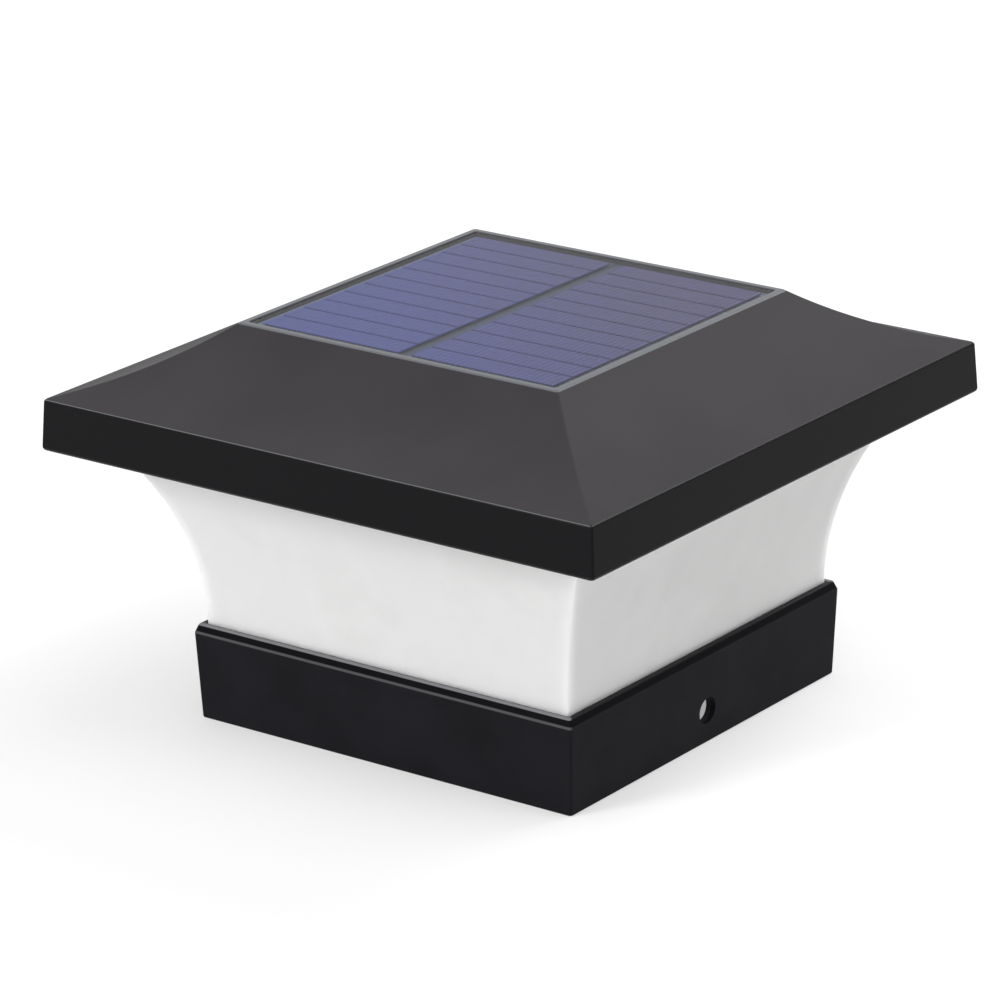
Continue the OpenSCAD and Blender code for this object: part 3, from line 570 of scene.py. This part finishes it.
def backing_finish(settings):
    """Dark board with a paler border outside the cells, crossed by the stripe between them; the
    border's paler colour is painted reflection.
    """
    material, tree, shader, place = start_material("Panel backing", Roughness=0.5,
                                                   Specular_IOR_Level=0.1)
    axes = axes_of(tree, place)
    beside = past(tree, math_node(tree, "ABSOLUTE", axes["X"]),
                  settings.column_gap / 2 + STRIPE_MARGIN, STRIPE_BLEND)
    border = product(tree, outer_share(tree, axes, settings.border_reach), beside)
    clouds = speckle(tree, place, BOARD_CLOUD, CLOUD_DETAIL)
    board = mottled(tree, clouds, settings.backing_colour, BOARD_MOTTLE)
    # The border's paler colour is painted reflection
    feed(tree, shader, Base_Color=blend_colour(tree, border, board, settings.border_reflection_colour[:]))
    bump(tree, shader, speckle(tree, place, FINE_GRAIN), FINE_DEPTH)
    return material


def cover_finish():
    """Clear cover: its gloss grows towards a flat view."""
    material = bpy.data.materials.new("Panel laminate")
    material.use_nodes = True
    tree = material.node_tree
    tree.nodes.clear()
    place = add(tree, "ShaderNodeTexCoord").outputs["Object"]
    ripple = add(tree, "ShaderNodeBump", {"Height": speckle(tree, place, RIPPLE, FINE_DETAIL),
                                          "Distance": RIPPLE_DEPTH, "Strength": 1.0}).outputs[0]
    clear = add(tree, "ShaderNodeBsdfTransparent", {"Color": COVER_CLEAR})
    gloss = add(tree, "ShaderNodeBsdfGlossy", {"Color": COVER_GLOSS, "Roughness": COVER_ROUGHNESS,
                                               "Normal": ripple})
    behind = add(tree, "ShaderNodeNewGeometry").outputs["Backfacing"]
    fresnel = add(tree, "ShaderNodeFresnel", {"IOR": COVER_IOR}).outputs[0]
    shine = product(tree, fresnel, math_node(tree, "SUBTRACT", 1.0, behind))
    pick = add(tree, "ShaderNodeMixShader", {0: shine, 1: clear.outputs[0], 2: gloss.outputs[0]})
    add(tree, "ShaderNodeOutputMaterial", {"Surface": pick.outputs[0]})
    return material


def strips_tree():
    """Rows of thin rectangular cells on a grid of centres."""
    tree, inputs, output = start_tree("Cell strips", [
        ("Columns", "Int", 2), ("Rows", "Int", 11), ("Span X", "Float", 0.04),
        ("Span Y", "Float", 0.08), ("Strip length", "Float", 0.04), ("Strip width", "Float", 0.007),
        ("Thickness", "Float", 0.0003), ("Height", "Float", 0.098)])
    cell = add(tree, "GeometryNodeMeshCube", {"Size": vector_of(
        tree, inputs["Strip length"], inputs["Strip width"], inputs["Thickness"])})
    lifted = moved(tree, point_grid(tree, inputs), vector_of(tree, z=inputs["Height"]))
    laid = add(tree, "GeometryNodeInstanceOnPoints",
               {"Points": lifted, "Instance": cell.outputs[0]})
    end_tree(tree, inputs, output, laid.outputs[0])
    return tree


def slab_mesh(name, low, high, corner, edge, material):
    """Flat slab with rounded upright corners and bevelled rims."""
    shape = bmesh.new()
    bmesh.ops.create_cube(shape, size=1.0)
    size, centre = Vector(high) - Vector(low), (Vector(high) + Vector(low)) / 2
    bmesh.ops.transform(shape, matrix=Matrix.LocRotScale(centre, None, size), verts=shape.verts)
    upright = [e for e in shape.edges if abs(e.verts[0].co.z - e.verts[1].co.z) > size.z / 2]
    bmesh.ops.bevel(shape, geom=upright, offset=corner, segments=CORNER_STEPS,
                     profile=0.5, affect="EDGES")
    rims = [e for e in shape.edges if len(e.link_faces) == 2
            and abs(e.link_faces[0].normal.z - e.link_faces[1].normal.z) > EDGE_TURN]
    bmesh.ops.bevel(shape, geom=rims, offset=edge, segments=EDGE_STEPS, profile=0.5,
                     affect="EDGES")
    mesh = bpy.data.meshes.new(name)
    shape.to_mesh(mesh)
    shape.free()
    mesh.shade_smooth()
    mesh.set_sharp_from_angle(angle=math.radians(SLAB_SHARP))
    mesh.materials.append(material)
    return mesh


class CAPLIGHT_OT_panel(bpy.types.Operator):
    """Lays the cell strips under their clear cover"""

    bl_idname = "caplight.panel"
    bl_label = "Solar panel"

    def execute(self, context):
        settings = context.scene.cap_panel
        low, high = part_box("solar_cells")
        pitch = (high.y - low.y + settings.strip_gap) / settings.strips
        strip = (high.x - low.x - settings.column_gap) / COLUMNS
        cells = grown("cell_strips", strips_tree(), cell_finish(settings), Columns=COLUMNS,
                      Rows=settings.strips, Span_X=strip + settings.column_gap,
                      Span_Y=pitch * (settings.strips - 1), Strip_length=strip,
                      Strip_width=pitch - settings.strip_gap, Thickness=high.z - low.z,
                      Height=(low.z + high.z) / 2 + settings.cell_lift)
        new_piece("cell_strips", cells, "solar_cells")
        cover_low, cover_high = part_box("panel_cover")
        cover_low.z = high.z + settings.cell_lift + COVER_GAP
        cover = slab_mesh("clear_cover", cover_low, cover_high, COVER_CORNER, settings.cover_edge,
                          cover_finish())
        new_piece("clear_cover", cover, "panel_cover")
        finish_node("panel_backing", backing_finish(settings))
        finish_node("panel_adhesive", moulded("Adhesive foam", (0.6, 0.6, 0.57), 0.9,
                                              grain=0.8 * MM, depth=0.1 * MM))
        finish_node("terminal_sealant", moulded("Sealant", (0.72, 0.68, 0.6), 0.4, grain=2 * MM,
                                                depth=0.2 * MM))
        return {"FINISHED"}


# ---------- Diffuser ----------


class DiffuserSettings(bpy.types.PropertyGroup):
    colour: paint("Colour", "Colour of the frosted wall", (0.93, 0.914, 0.906))
    roughness: share("Roughness", "Roughness of the frosted wall", 0.38)
    cloud: length("Cloud", "Size of the faint clouds in the frosting", 38 * MM)
    glow: length("Glow", "How far light travels inside the wall", 6 * MM)


def diffuser_finish(settings):
    """Frosted white wall with faint clouds."""
    return moulded("Diffuser plastic", settings.colour[:], settings.roughness, grain=0.3 * MM,
                   depth=0.006 * MM, mottle=0.07, cloud=settings.cloud, Specular_IOR_Level=0.2,
                   Subsurface_Weight=1.0, Subsurface_Radius=(1.0, 1.0, 1.0),
                   Subsurface_Scale=settings.glow)


class CAPLIGHT_OT_diffuser(bpy.types.Operator):
    """Finishes the frosted diffuser and the white reflector above it"""

    bl_idname = "caplight.diffuser"
    bl_label = "Diffuser"

    def execute(self, context):
        frosted = diffuser_finish(context.scene.cap_diffuser)
        smooth_copy("diffuser", "frosted_diffuser", frosted)
        white = moulded("Reflector plastic", (0.85, 0.85, 0.84), 0.3)
        smooth_copy("reflector", "white_reflector", white)
        for node in ("lower_seal", "upper_seal"):
            finish_node(node, moulded("Seal foam", (0.03, 0.03, 0.032), 0.9, grain=0.5 * MM,
                                      depth=0.08 * MM))
        return {"FINISHED"}


# ---------- Collar ----------


COLLAR_CLOUD, COLLAR_MOTTLE = 18 * MM, 0.12
COLLAR_GRAIN, COLLAR_DEPTH = 0.5 * MM, 0.004 * MM
PARTING_BLEND = 0.3 * MM
BAND_SHADE_COLOUR, BAND_SHADE_SHARE = (0.002, 0.002, 0.0025), 0.7  # painted shade on the band above the parting line, under the diffuser's flare
MATT_GAIN = 0.3  # how much rougher the inside is


class CollarSettings(bpy.types.PropertyGroup):
    colour: paint("Colour", "Colour of the black collar", (0.012, 0.012, 0.0145))
    inner_colour: paint("Inner colour", "Colour of the matt surfaces inside the collar",
                        (0.036, 0.035, 0.037))
    roughness: share("Roughness", "Roughness of the black collar", 0.22)
    # Painted highlights: lighter lines on the ledge's outer edge and the parting line where the key
    # lamp glints, mostly on the front and back
    edge_highlight_colour: paint("Edge colour", "Colour of the ledge's worn outer edge", (0.18, 0.18, 0.19))
    edge_height: length("Edge height", "Height of the ledge's worn outer edge", 24.05 * MM)
    edge_width: length("Edge width", "Width of the ledge's worn outer edge", 0.4 * MM)
    parting_highlight_colour: paint("Parting colour", "Colour of the parting line", (0.075, 0.075, 0.08))
    parting_height: length("Parting height", "Height of the parting line", 22.15 * MM)
    parting_width: length("Parting width", "Width of the parting line", 0.6 * MM)
    wall_reach: length("Wall reach", "Distance of the outside walls from the middle", 53.8 * MM)
    side_share: share("Side share", "How much of the worn edges shows on the two sides", 0.08)


def collar_finish(settings):
    """Satin black, with painted shade above the parting line and painted highlights on the ledge's
    outer edge and the parting line.
    """
    material, tree, shader, place = start_material("Collar plastic", Specular_IOR_Level=0.02)
    axes = axes_of(tree, place)
    clouds = speckle(tree, place, COLLAR_CLOUD, CLOUD_DETAIL)
    face = mottled(tree, in_clouds(tree, clouds), settings.colour, COLLAR_MOTTLE)
    outside = outer_share(tree, axes, settings.wall_reach)
    face = blend_colour(tree, outside, settings.inner_colour[:], face)
    highlit = outer_share(tree, axes, settings.wall_reach, settings.side_share)
    parting = settings.parting_height
    # Painted shade: the band above the parting line is darkened where the diffuser's flare shades
    # it
    band = between(tree, axes["Z"], parting, parting + PARTING_BLEND, 0.0, BAND_SHADE_SHARE)
    face = blend_colour(tree, product(tree, band, outside), face, BAND_SHADE_COLOUR)
    # Painted highlights along the parting line and the ledge's outer edge
    for height, width, colour in (
            (parting, settings.parting_width, settings.parting_highlight_colour),
            (settings.edge_height, settings.edge_width, settings.edge_highlight_colour)):
        line = product(tree, height_line(tree, axes["Z"], height, width), highlit)
        face = blend_colour(tree, line, face, colour[:])
    matt = between(tree, outside, 0.0, 1.0, MATT_GAIN, 0.0)
    feed(tree, shader, Base_Color=face,
         Roughness=math_node(tree, "ADD", cloudy(tree, clouds, settings.roughness), matt))
    bump(tree, shader, speckle(tree, place, COLLAR_GRAIN), COLLAR_DEPTH)
    return material


class CAPLIGHT_OT_collar(bpy.types.Operator):
    """Finishes the collar and its battery door"""

    bl_idname = "caplight.collar"
    bl_label = "Collar"

    def execute(self, context):
        black = collar_finish(context.scene.cap_collar)
        smooth_copy("base_collar", "collar_moulding", black)
        smooth_copy("battery_door", "door_leaf", black, body="battery_door")
        return {"FINISHED"}


# ---------- Battery bay ----------


SLEEVE_START = 1.7 * MM  # distance of the sleeve from the button's end
SLEEVE_END = 0.1 * MM  # distance of the sleeve from the flat end
SLEEVE_BLEND = 0.1 * MM
STRIPE_MIDDLE, STRIPE_HALF = 8 * MM, 2.45 * MM  # distance from the button's end, half width
STRIPE_COLOUR, BARE_COLOUR = (0.8, 0.8, 0.78), (0.6, 0.6, 0.62)
WRINKLE, WRINKLE_DEPTH = 4 * MM, 0.05 * MM
BRUSHED = (1.0, 1.0, 0.12)  # draws the scratches out along Z
DARK_SCRATCH, PALE_SCRATCH = 0.85, 1.1  # shades of the metal's colour
SMOOTH_SCRATCH, ROUGH_SCRATCH = 0.8, 1.25  # shares of the metal's roughness
SCRATCH, SCRATCH_DEPTH = 0.25 * MM, 0.003 * MM
COIL_STEPS, WIRE_SIDES = 32, 10


class BatterySettings(bpy.types.PropertyGroup):
    sleeve_colour: paint("Sleeve colour", "Colour of the battery's sleeve", (0.05, 0.28, 0.09))
    turns: IntProperty(name="Turns", description="Turns of the contact spring", default=4, min=1)
    wire: length("Wire", "Radius of the spring's wire", 0.4 * MM)
    spring_wide: length("Wide end", "Radius of the spring at its plate", 4.6 * MM)
    spring_narrow: length("Narrow end", "Radius of the spring at the battery", 2.6 * MM)


def metal(name, colour, roughness):
    """Bare metal with faint brushed marks in its colour and gloss."""
    material, tree, shader, place = start_material(name, Metallic=1.0)
    lines = add(tree, "ShaderNodeMapping", {"Vector": place, "Scale": BRUSHED}).outputs[0]
    marks = speckle(tree, lines, SCRATCH, FINE_DETAIL)
    feed(tree, shader, Base_Color=blend_colour(tree, marks, shade(colour, DARK_SCRATCH),
                                               shade(colour, PALE_SCRATCH)),
         Roughness=in_clouds(tree, marks, roughness * SMOOTH_SCRATCH, roughness * ROUGH_SCRATCH))
    bump(tree, shader, marks, SCRATCH_DEPTH)
    return material


def battery_finish(settings):
    """Shrink sleeve with a pale stripe, and bare metal at both ends."""
    material, tree, shader, place = start_material("Battery sleeve", Roughness=0.3)
    low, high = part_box("battery")
    along = axes_of(tree, place)["X"]
    front = past(tree, along, high.x - SLEEVE_START, SLEEVE_BLEND)
    back = past(tree, along, low.x + SLEEVE_END, SLEEVE_BLEND, 1.0, 0.0)
    bare = math_node(tree, "MAXIMUM", front, back)
    off = math_node(tree, "ABSOLUTE", math_node(tree, "SUBTRACT", along, high.x - STRIPE_MIDDLE))
    stripe = past(tree, off, STRIPE_HALF, SLEEVE_BLEND, 1.0, 0.0)
    sleeve = blend_colour(tree, stripe, settings.sleeve_colour[:], STRIPE_COLOUR)
    feed(tree, shader, Base_Color=blend_colour(tree, bare, sleeve, BARE_COLOUR), Metallic=bare)
    bump(tree, shader, speckle(tree, place, WRINKLE), WRINKLE_DEPTH)
    return material


def spring_tree():
    """Conical coil of round wire along X."""
    tree, inputs, output = start_tree("Contact spring", [
        ("Turns", "Float", 4.0), ("Wide end", "Float", 0.0046), ("Narrow end", "Float", 0.0026),
        ("Length", "Float", 0.004), ("Wire", "Float", 0.0004), ("Start", "Vector", None)])
    coil = add(tree, "GeometryNodeCurveSpiral", {
        "Resolution": COIL_STEPS, "Rotations": inputs["Turns"], "Start Radius": inputs["Wide end"],
        "End Radius": inputs["Narrow end"], "Height": inputs["Length"]})
    round_wire = add(tree, "GeometryNodeCurvePrimitiveCircle",
                     {"Resolution": WIRE_SIDES, "Radius": inputs["Wire"]})
    tube = add(tree, "GeometryNodeCurveToMesh",
               {"Curve": coil.outputs[0], "Profile Curve": round_wire.outputs[0],
                "Fill Caps": True})
    placed = moved(tree, tube.outputs[0], inputs["Start"], Euler((0, math.pi / 2, 0)))
    smooth = add(tree, "GeometryNodeSetShadeSmooth", {"Geometry": placed})
    end_tree(tree, inputs, output, smooth.outputs[0])
    return tree


class CAPLIGHT_OT_battery(bpy.types.Operator):
    """Finishes the battery and its contacts and winds the spring"""

    bl_idname = "caplight.battery"
    bl_label = "Battery bay"

    def execute(self, context):
        settings = context.scene.cap_battery
        finish_node("battery", battery_finish(settings))
        plate = metal("Contact plate", (0.62, 0.62, 0.6), 0.28)
        finish_node("negative_contact", plate)
        finish_node("positive_contact", plate)
        low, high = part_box("battery_spring")
        cell_low, cell_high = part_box("battery")
        wire = settings.wire
        coil = grown("coil_spring", spring_tree(), metal("Spring steel", (0.66, 0.66, 0.65), 0.22),
                     Turns=float(settings.turns), Wide_end=settings.spring_wide,
                     Narrow_end=settings.spring_narrow, Length=high.x - low.x - 2 * wire, Wire=wire,
                     Start=(low.x + wire, 0.0, (cell_low.z + cell_high.z) / 2))
        new_piece("coil_spring", coil, "battery_spring")
        return {"FINISHED"}


# ---------- Electronics ----------


TRACE_WIDTH, TRACE_RISE, TRACE_COLOUR = 0.2 * MM, 0.03 * MM, (0.05, 0.22, 0.08)
TRACE_LENGTH = 3  # in trace pitches
LEAD_ROUGHNESS, LEAD_SHARP = 0.42, 60.0  # the second in degrees
# Parts that keep their node's mesh: node, material, colour, roughness and other values
SMALL_PARTS = (
    ("leds", "LED resin", (0.85, 0.8, 0.55), 0.12,
     {"grain": 5 * MM, "depth": 0.01 * MM, "mottle": 0.05, "Transmission_Weight": 0.3}),
    ("inductor", "Ferrite", (0.09, 0.085, 0.08), 0.6, {"grain": 0.3 * MM, "depth": 0.04 * MM}),
    ("capacitor", "Capacitor sleeve", (0.02, 0.03, 0.1), 0.3,
     {"grain": 3 * MM, "depth": 0.02 * MM}),
    ("switch_body", "Switch case", (0.45, 0.46, 0.48), 0.3, {"mottle": 0.06}),
    ("switch_knob", "Switch knob", (0.75, 0.75, 0.74), 0.4, {"mottle": 0.05}),
)


class ElectronicsSettings(bpy.types.PropertyGroup):
    board_colour: paint("Board colour", "Colour of the board's mask", (0.015, 0.11, 0.04))
    trace_pitch: length("Trace pitch", "Distance between the board's traces", 3.2 * MM)
    red: paint("Red lead", "Colour of the positive lead", (0.5, 0.02, 0.015))
    black: paint("Black lead", "Colour of the other leads", (0.012, 0.012, 0.013))


def board_finish(settings):
    """Green mask over faint copper traces."""
    material, tree, shader, place = start_material("Circuit board", Roughness=0.3)
    traces = add(tree, "ShaderNodeTexBrick", {
        "Vector": place, "Scale": 1.0, "Mortar Size": TRACE_WIDTH,
        "Brick Width": TRACE_LENGTH * settings.trace_pitch,
        "Row Height": settings.trace_pitch}).outputs["Fac"]
    feed(tree, shader,
         Base_Color=blend_colour(tree, traces, settings.board_colour[:], TRACE_COLOUR))
    bump(tree, shader, traces, TRACE_RISE)
    return material


class CAPLIGHT_OT_electronics(bpy.types.Operator):
    """Finishes the board, what stands on it, the leads and the power switch"""

    bl_idname = "caplight.electronics"
    bl_label = "Electronics"

    def execute(self, context):
        settings = context.scene.cap_electronics
        finish_node("control_board", board_finish(settings))
        chip = moulded("Chip body", (0.02, 0.02, 0.021), 0.45, grain=0.2 * MM)
        finish_node("controller_chip", chip)
        finish_node("resistors", chip)
        for node, name, colour, roughness, values in SMALL_PARTS:
            finish_node(node, moulded(name, colour, roughness, **values))
        for node, name, slot, colour in (
                ("panel_lead_red", "red_panel_lead", "lead_red", settings.red),
                ("panel_lead_black", "black_panel_lead", "lead_black", settings.black),
                ("switch_leads", "switch_lead_pair", "lead_black", settings.black)):
            sleeve = moulded(slot.replace("_", " "), colour[:], LEAD_ROUGHNESS)
            smooth_copy(node, name, sleeve, sharp=LEAD_SHARP)
        return {"FINISHED"}


# ---------- Screws ----------


CROWN = 0.45  # how far the head's rim is drawn in, as a share of the head's height
RECESS_WIDTH = 0.32  # as a share of the head's radius
RECESS_DEPTH = 1.1  # of the cutter, as a share of the head's height; half lies outside it
TIP_RADIUS = 0.3  # as a share of the shank's radius
HEAD_SIDES, SHANK_SIDES = 32, 24


class ScrewSettings(bpy.types.PropertyGroup):
    colour: paint("Colour", "Colour of the plated steel", (0.55, 0.55, 0.56))
    recess: share("Recess", "Length of the cross recess as a share of the head", 0.6)


def pan_head(tree, radius, height, recess):
    """A domed head with a cross recess, hanging down from the origin."""
    head = add(tree, "GeometryNodeMeshCylinder", {
        "Vertices": HEAD_SIDES, "Side Segments": 2, "Fill Segments": 5,
        "Radius": radius, "Depth": height})
    seated = moved(tree, head.outputs[0], vector_of(tree, z=product(tree, height, -0.5)))
    spot = axes_of(tree, add(tree, "GeometryNodeInputPosition").outputs[0])
    square = math_node(tree, "ADD", math_node(tree, "POWER", spot["X"], 2.0),
                       math_node(tree, "POWER", spot["Y"], 2.0))
    reach = math_node(tree, "DIVIDE", math_node(tree, "SQRT", square), radius)
    depth = math_node(tree, "DIVIDE", product(tree, spot["Z"], -1.0), height)
    fall = product(tree, math_node(tree, "POWER", reach, 3.0), depth)
    crown = product(tree, fall, product(tree, height, CROWN))
    domed = add(tree, "GeometryNodeSetPosition",
                {"Geometry": seated, "Offset": vector_of(tree, z=crown)})
    long = product(tree, product(tree, radius, 2.0), recess)
    narrow = product(tree, radius, RECESS_WIDTH)
    sink = product(tree, height, RECESS_DEPTH)
    end = vector_of(tree, z=product(tree, height, -1.0))
    cutters = add(tree, "GeometryNodeJoinGeometry")
    for size in ((long, narrow), (narrow, long)):
        bar = add(tree, "GeometryNodeMeshCube", {"Size": vector_of(tree, *size, sink)})
        tree.links.new(moved(tree, bar.outputs[0], end), cutters.inputs[0])
    cut = add(tree, "GeometryNodeMeshBoolean",
              {"Mesh 1": domed.outputs[0], "Self Intersection": True},
              operation="DIFFERENCE", solver="EXACT")
    tree.links.new(cutters.outputs[0], cut.inputs["Mesh 2"])
    return cut.outputs[0]


def screws_tree():
    """Pan-head screws with a cross recess, one at each point of a grid."""
    tree, inputs, output = start_tree("Pan-head screws", [
        ("Columns", "Int", 2), ("Rows", "Int", 2), ("Span X", "Float", 0.08),
        ("Span Y", "Float", 0.08), ("Centre", "Vector", None), ("Head radius", "Float", 0.0027),
        ("Head height", "Float", 0.0018), ("Shank radius", "Float", 0.0013),
        ("Shank length", "Float", 0.01), ("Recess", "Float", 0.6), ("Tilt", "Float", 0.0)])
    head = pan_head(tree, inputs["Head radius"], inputs["Head height"], inputs["Recess"])
    radius = inputs["Shank radius"]
    straight = math_node(tree, "SUBTRACT", inputs["Shank length"], radius)
    shank = add(tree, "GeometryNodeMeshCone", {
        "Vertices": SHANK_SIDES, "Side Segments": 1, "Fill Segments": 1,
        "Radius Top": radius, "Radius Bottom": radius, "Depth": straight})
    tip = add(tree, "GeometryNodeMeshCone", {
        "Vertices": SHANK_SIDES, "Radius Bottom": radius,
        "Radius Top": product(tree, radius, TIP_RADIUS), "Depth": radius})
    tip_up = moved(tree, tip.outputs[0], vector_of(tree, z=straight))
    whole = add(tree, "GeometryNodeJoinGeometry")
    for part in (head, shank.outputs[0], tip_up):
        tree.links.new(part, whole.inputs[0])
    flat = add(tree, "GeometryNodeSetShadeSmooth",
               {"Geometry": whole.outputs[0], "Shade Smooth": False})
    placed = moved(tree, point_grid(tree, inputs), inputs["Centre"])
    driven = add(tree, "GeometryNodeInstanceOnPoints", {
        "Points": placed, "Instance": flat.outputs[0],
        "Rotation": vector_of(tree, inputs["Tilt"])})
    end_tree(tree, inputs, output, driven.outputs[0])
    return tree


# Node, piece, columns, rows, then in millimetres the head's radius and height and the shank's
# radius, and whether the head points up
SCREW_SETS = (
    ("deck_screws", "deck_screw_set", 2, 2, 2.7, 1.8, 1.3, False),
    ("roof_screws", "roof_screw_set", 2, 2, 2.3, 1.4, 1.3, False),
    ("reflector_screws", "reflector_screw_set", 2, 2, 2.7, 1.4, 1.3, False),
    ("board_screws", "board_screw_set", 2, 1, 1.9, 1.2, 1.0, True),
    ("switch_screws", "switch_screw_set", 2, 1, 1.2, 0.9, 0.8, True),
)


class CAPLIGHT_OT_screws(bpy.types.Operator):
    """Drives every set of screws"""

    bl_idname = "caplight.screws"
    bl_label = "Screws"

    def execute(self, context):
        settings = context.scene.cap_screws
        tree, steel = screws_tree(), metal("Screw steel", settings.colour[:], 0.3)
        for node, name, columns, rows, *sizes, up in SCREW_SETS:
            head_r, head_h, shank_r = (size * MM for size in sizes)
            low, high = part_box(node)
            centre = (low + high) / 2
            centre.z = high.z - head_h if up else low.z + head_h
            mesh = grown(name, tree, steel, Columns=columns, Rows=rows,
                         Span_X=high.x - low.x - 2 * head_r,
                         Span_Y=high.y - low.y - 2 * head_r if rows > 1 else 0.0,
                         Centre=centre[:], Head_radius=head_r, Head_height=head_h,
                         Shank_radius=shank_r, Shank_length=high.z - low.z - head_h,
                         Recess=settings.recess, Tilt=math.pi if up else 0.0)
            new_piece(name, mesh, node)
        return {"FINISHED"}


# ---------- Panel and registration ----------


class CAPLIGHT_PT_pieces(bpy.types.Panel):
    """Lists the operators and their settings"""

    bl_label = "Cap Light"
    bl_idname = "CAPLIGHT_PT_pieces"
    bl_space_type = "VIEW_3D"
    bl_region_type = "UI"
    bl_category = "Cap Light"

    def draw(self, context):
        for operator, settings, _ in GROUPS:
            box = self.layout.box()
            box.operator(operator.bl_idname)
            group = getattr(context.scene, settings)
            for key in group.bl_rna.properties.keys():
                if key not in ("rna_type", "name"):
                    box.prop(group, key)


GROUPS = (
    (CAPLIGHT_OT_stage, "cap_stage", StageSettings),
    (CAPLIGHT_OT_roof, "cap_roof", RoofSettings),
    (CAPLIGHT_OT_panel, "cap_panel", PanelSettings),
    (CAPLIGHT_OT_diffuser, "cap_diffuser", DiffuserSettings),
    (CAPLIGHT_OT_collar, "cap_collar", CollarSettings),
    (CAPLIGHT_OT_battery, "cap_battery", BatterySettings),
    (CAPLIGHT_OT_electronics, "cap_electronics", ElectronicsSettings),
    (CAPLIGHT_OT_screws, "cap_screws", ScrewSettings),
)


def register():
    for operator, settings, group in GROUPS:
        bpy.utils.register_class(group)
        setattr(bpy.types.Scene, settings, PointerProperty(type=group))
        bpy.utils.register_class(operator)
    bpy.utils.register_class(CAPLIGHT_PT_pieces)


def unregister():
    bpy.utils.unregister_class(CAPLIGHT_PT_pieces)
    for operator, settings, group in reversed(GROUPS):
        bpy.utils.unregister_class(operator)
        delattr(bpy.types.Scene, settings)
        bpy.utils.unregister_class(group)


def main():
    register()
    for operator, _, _ in GROUPS:
        group, name = operator.bl_idname.split(".")
        getattr(getattr(bpy.ops, group), name)()


if __name__ == "__main__":
    main()
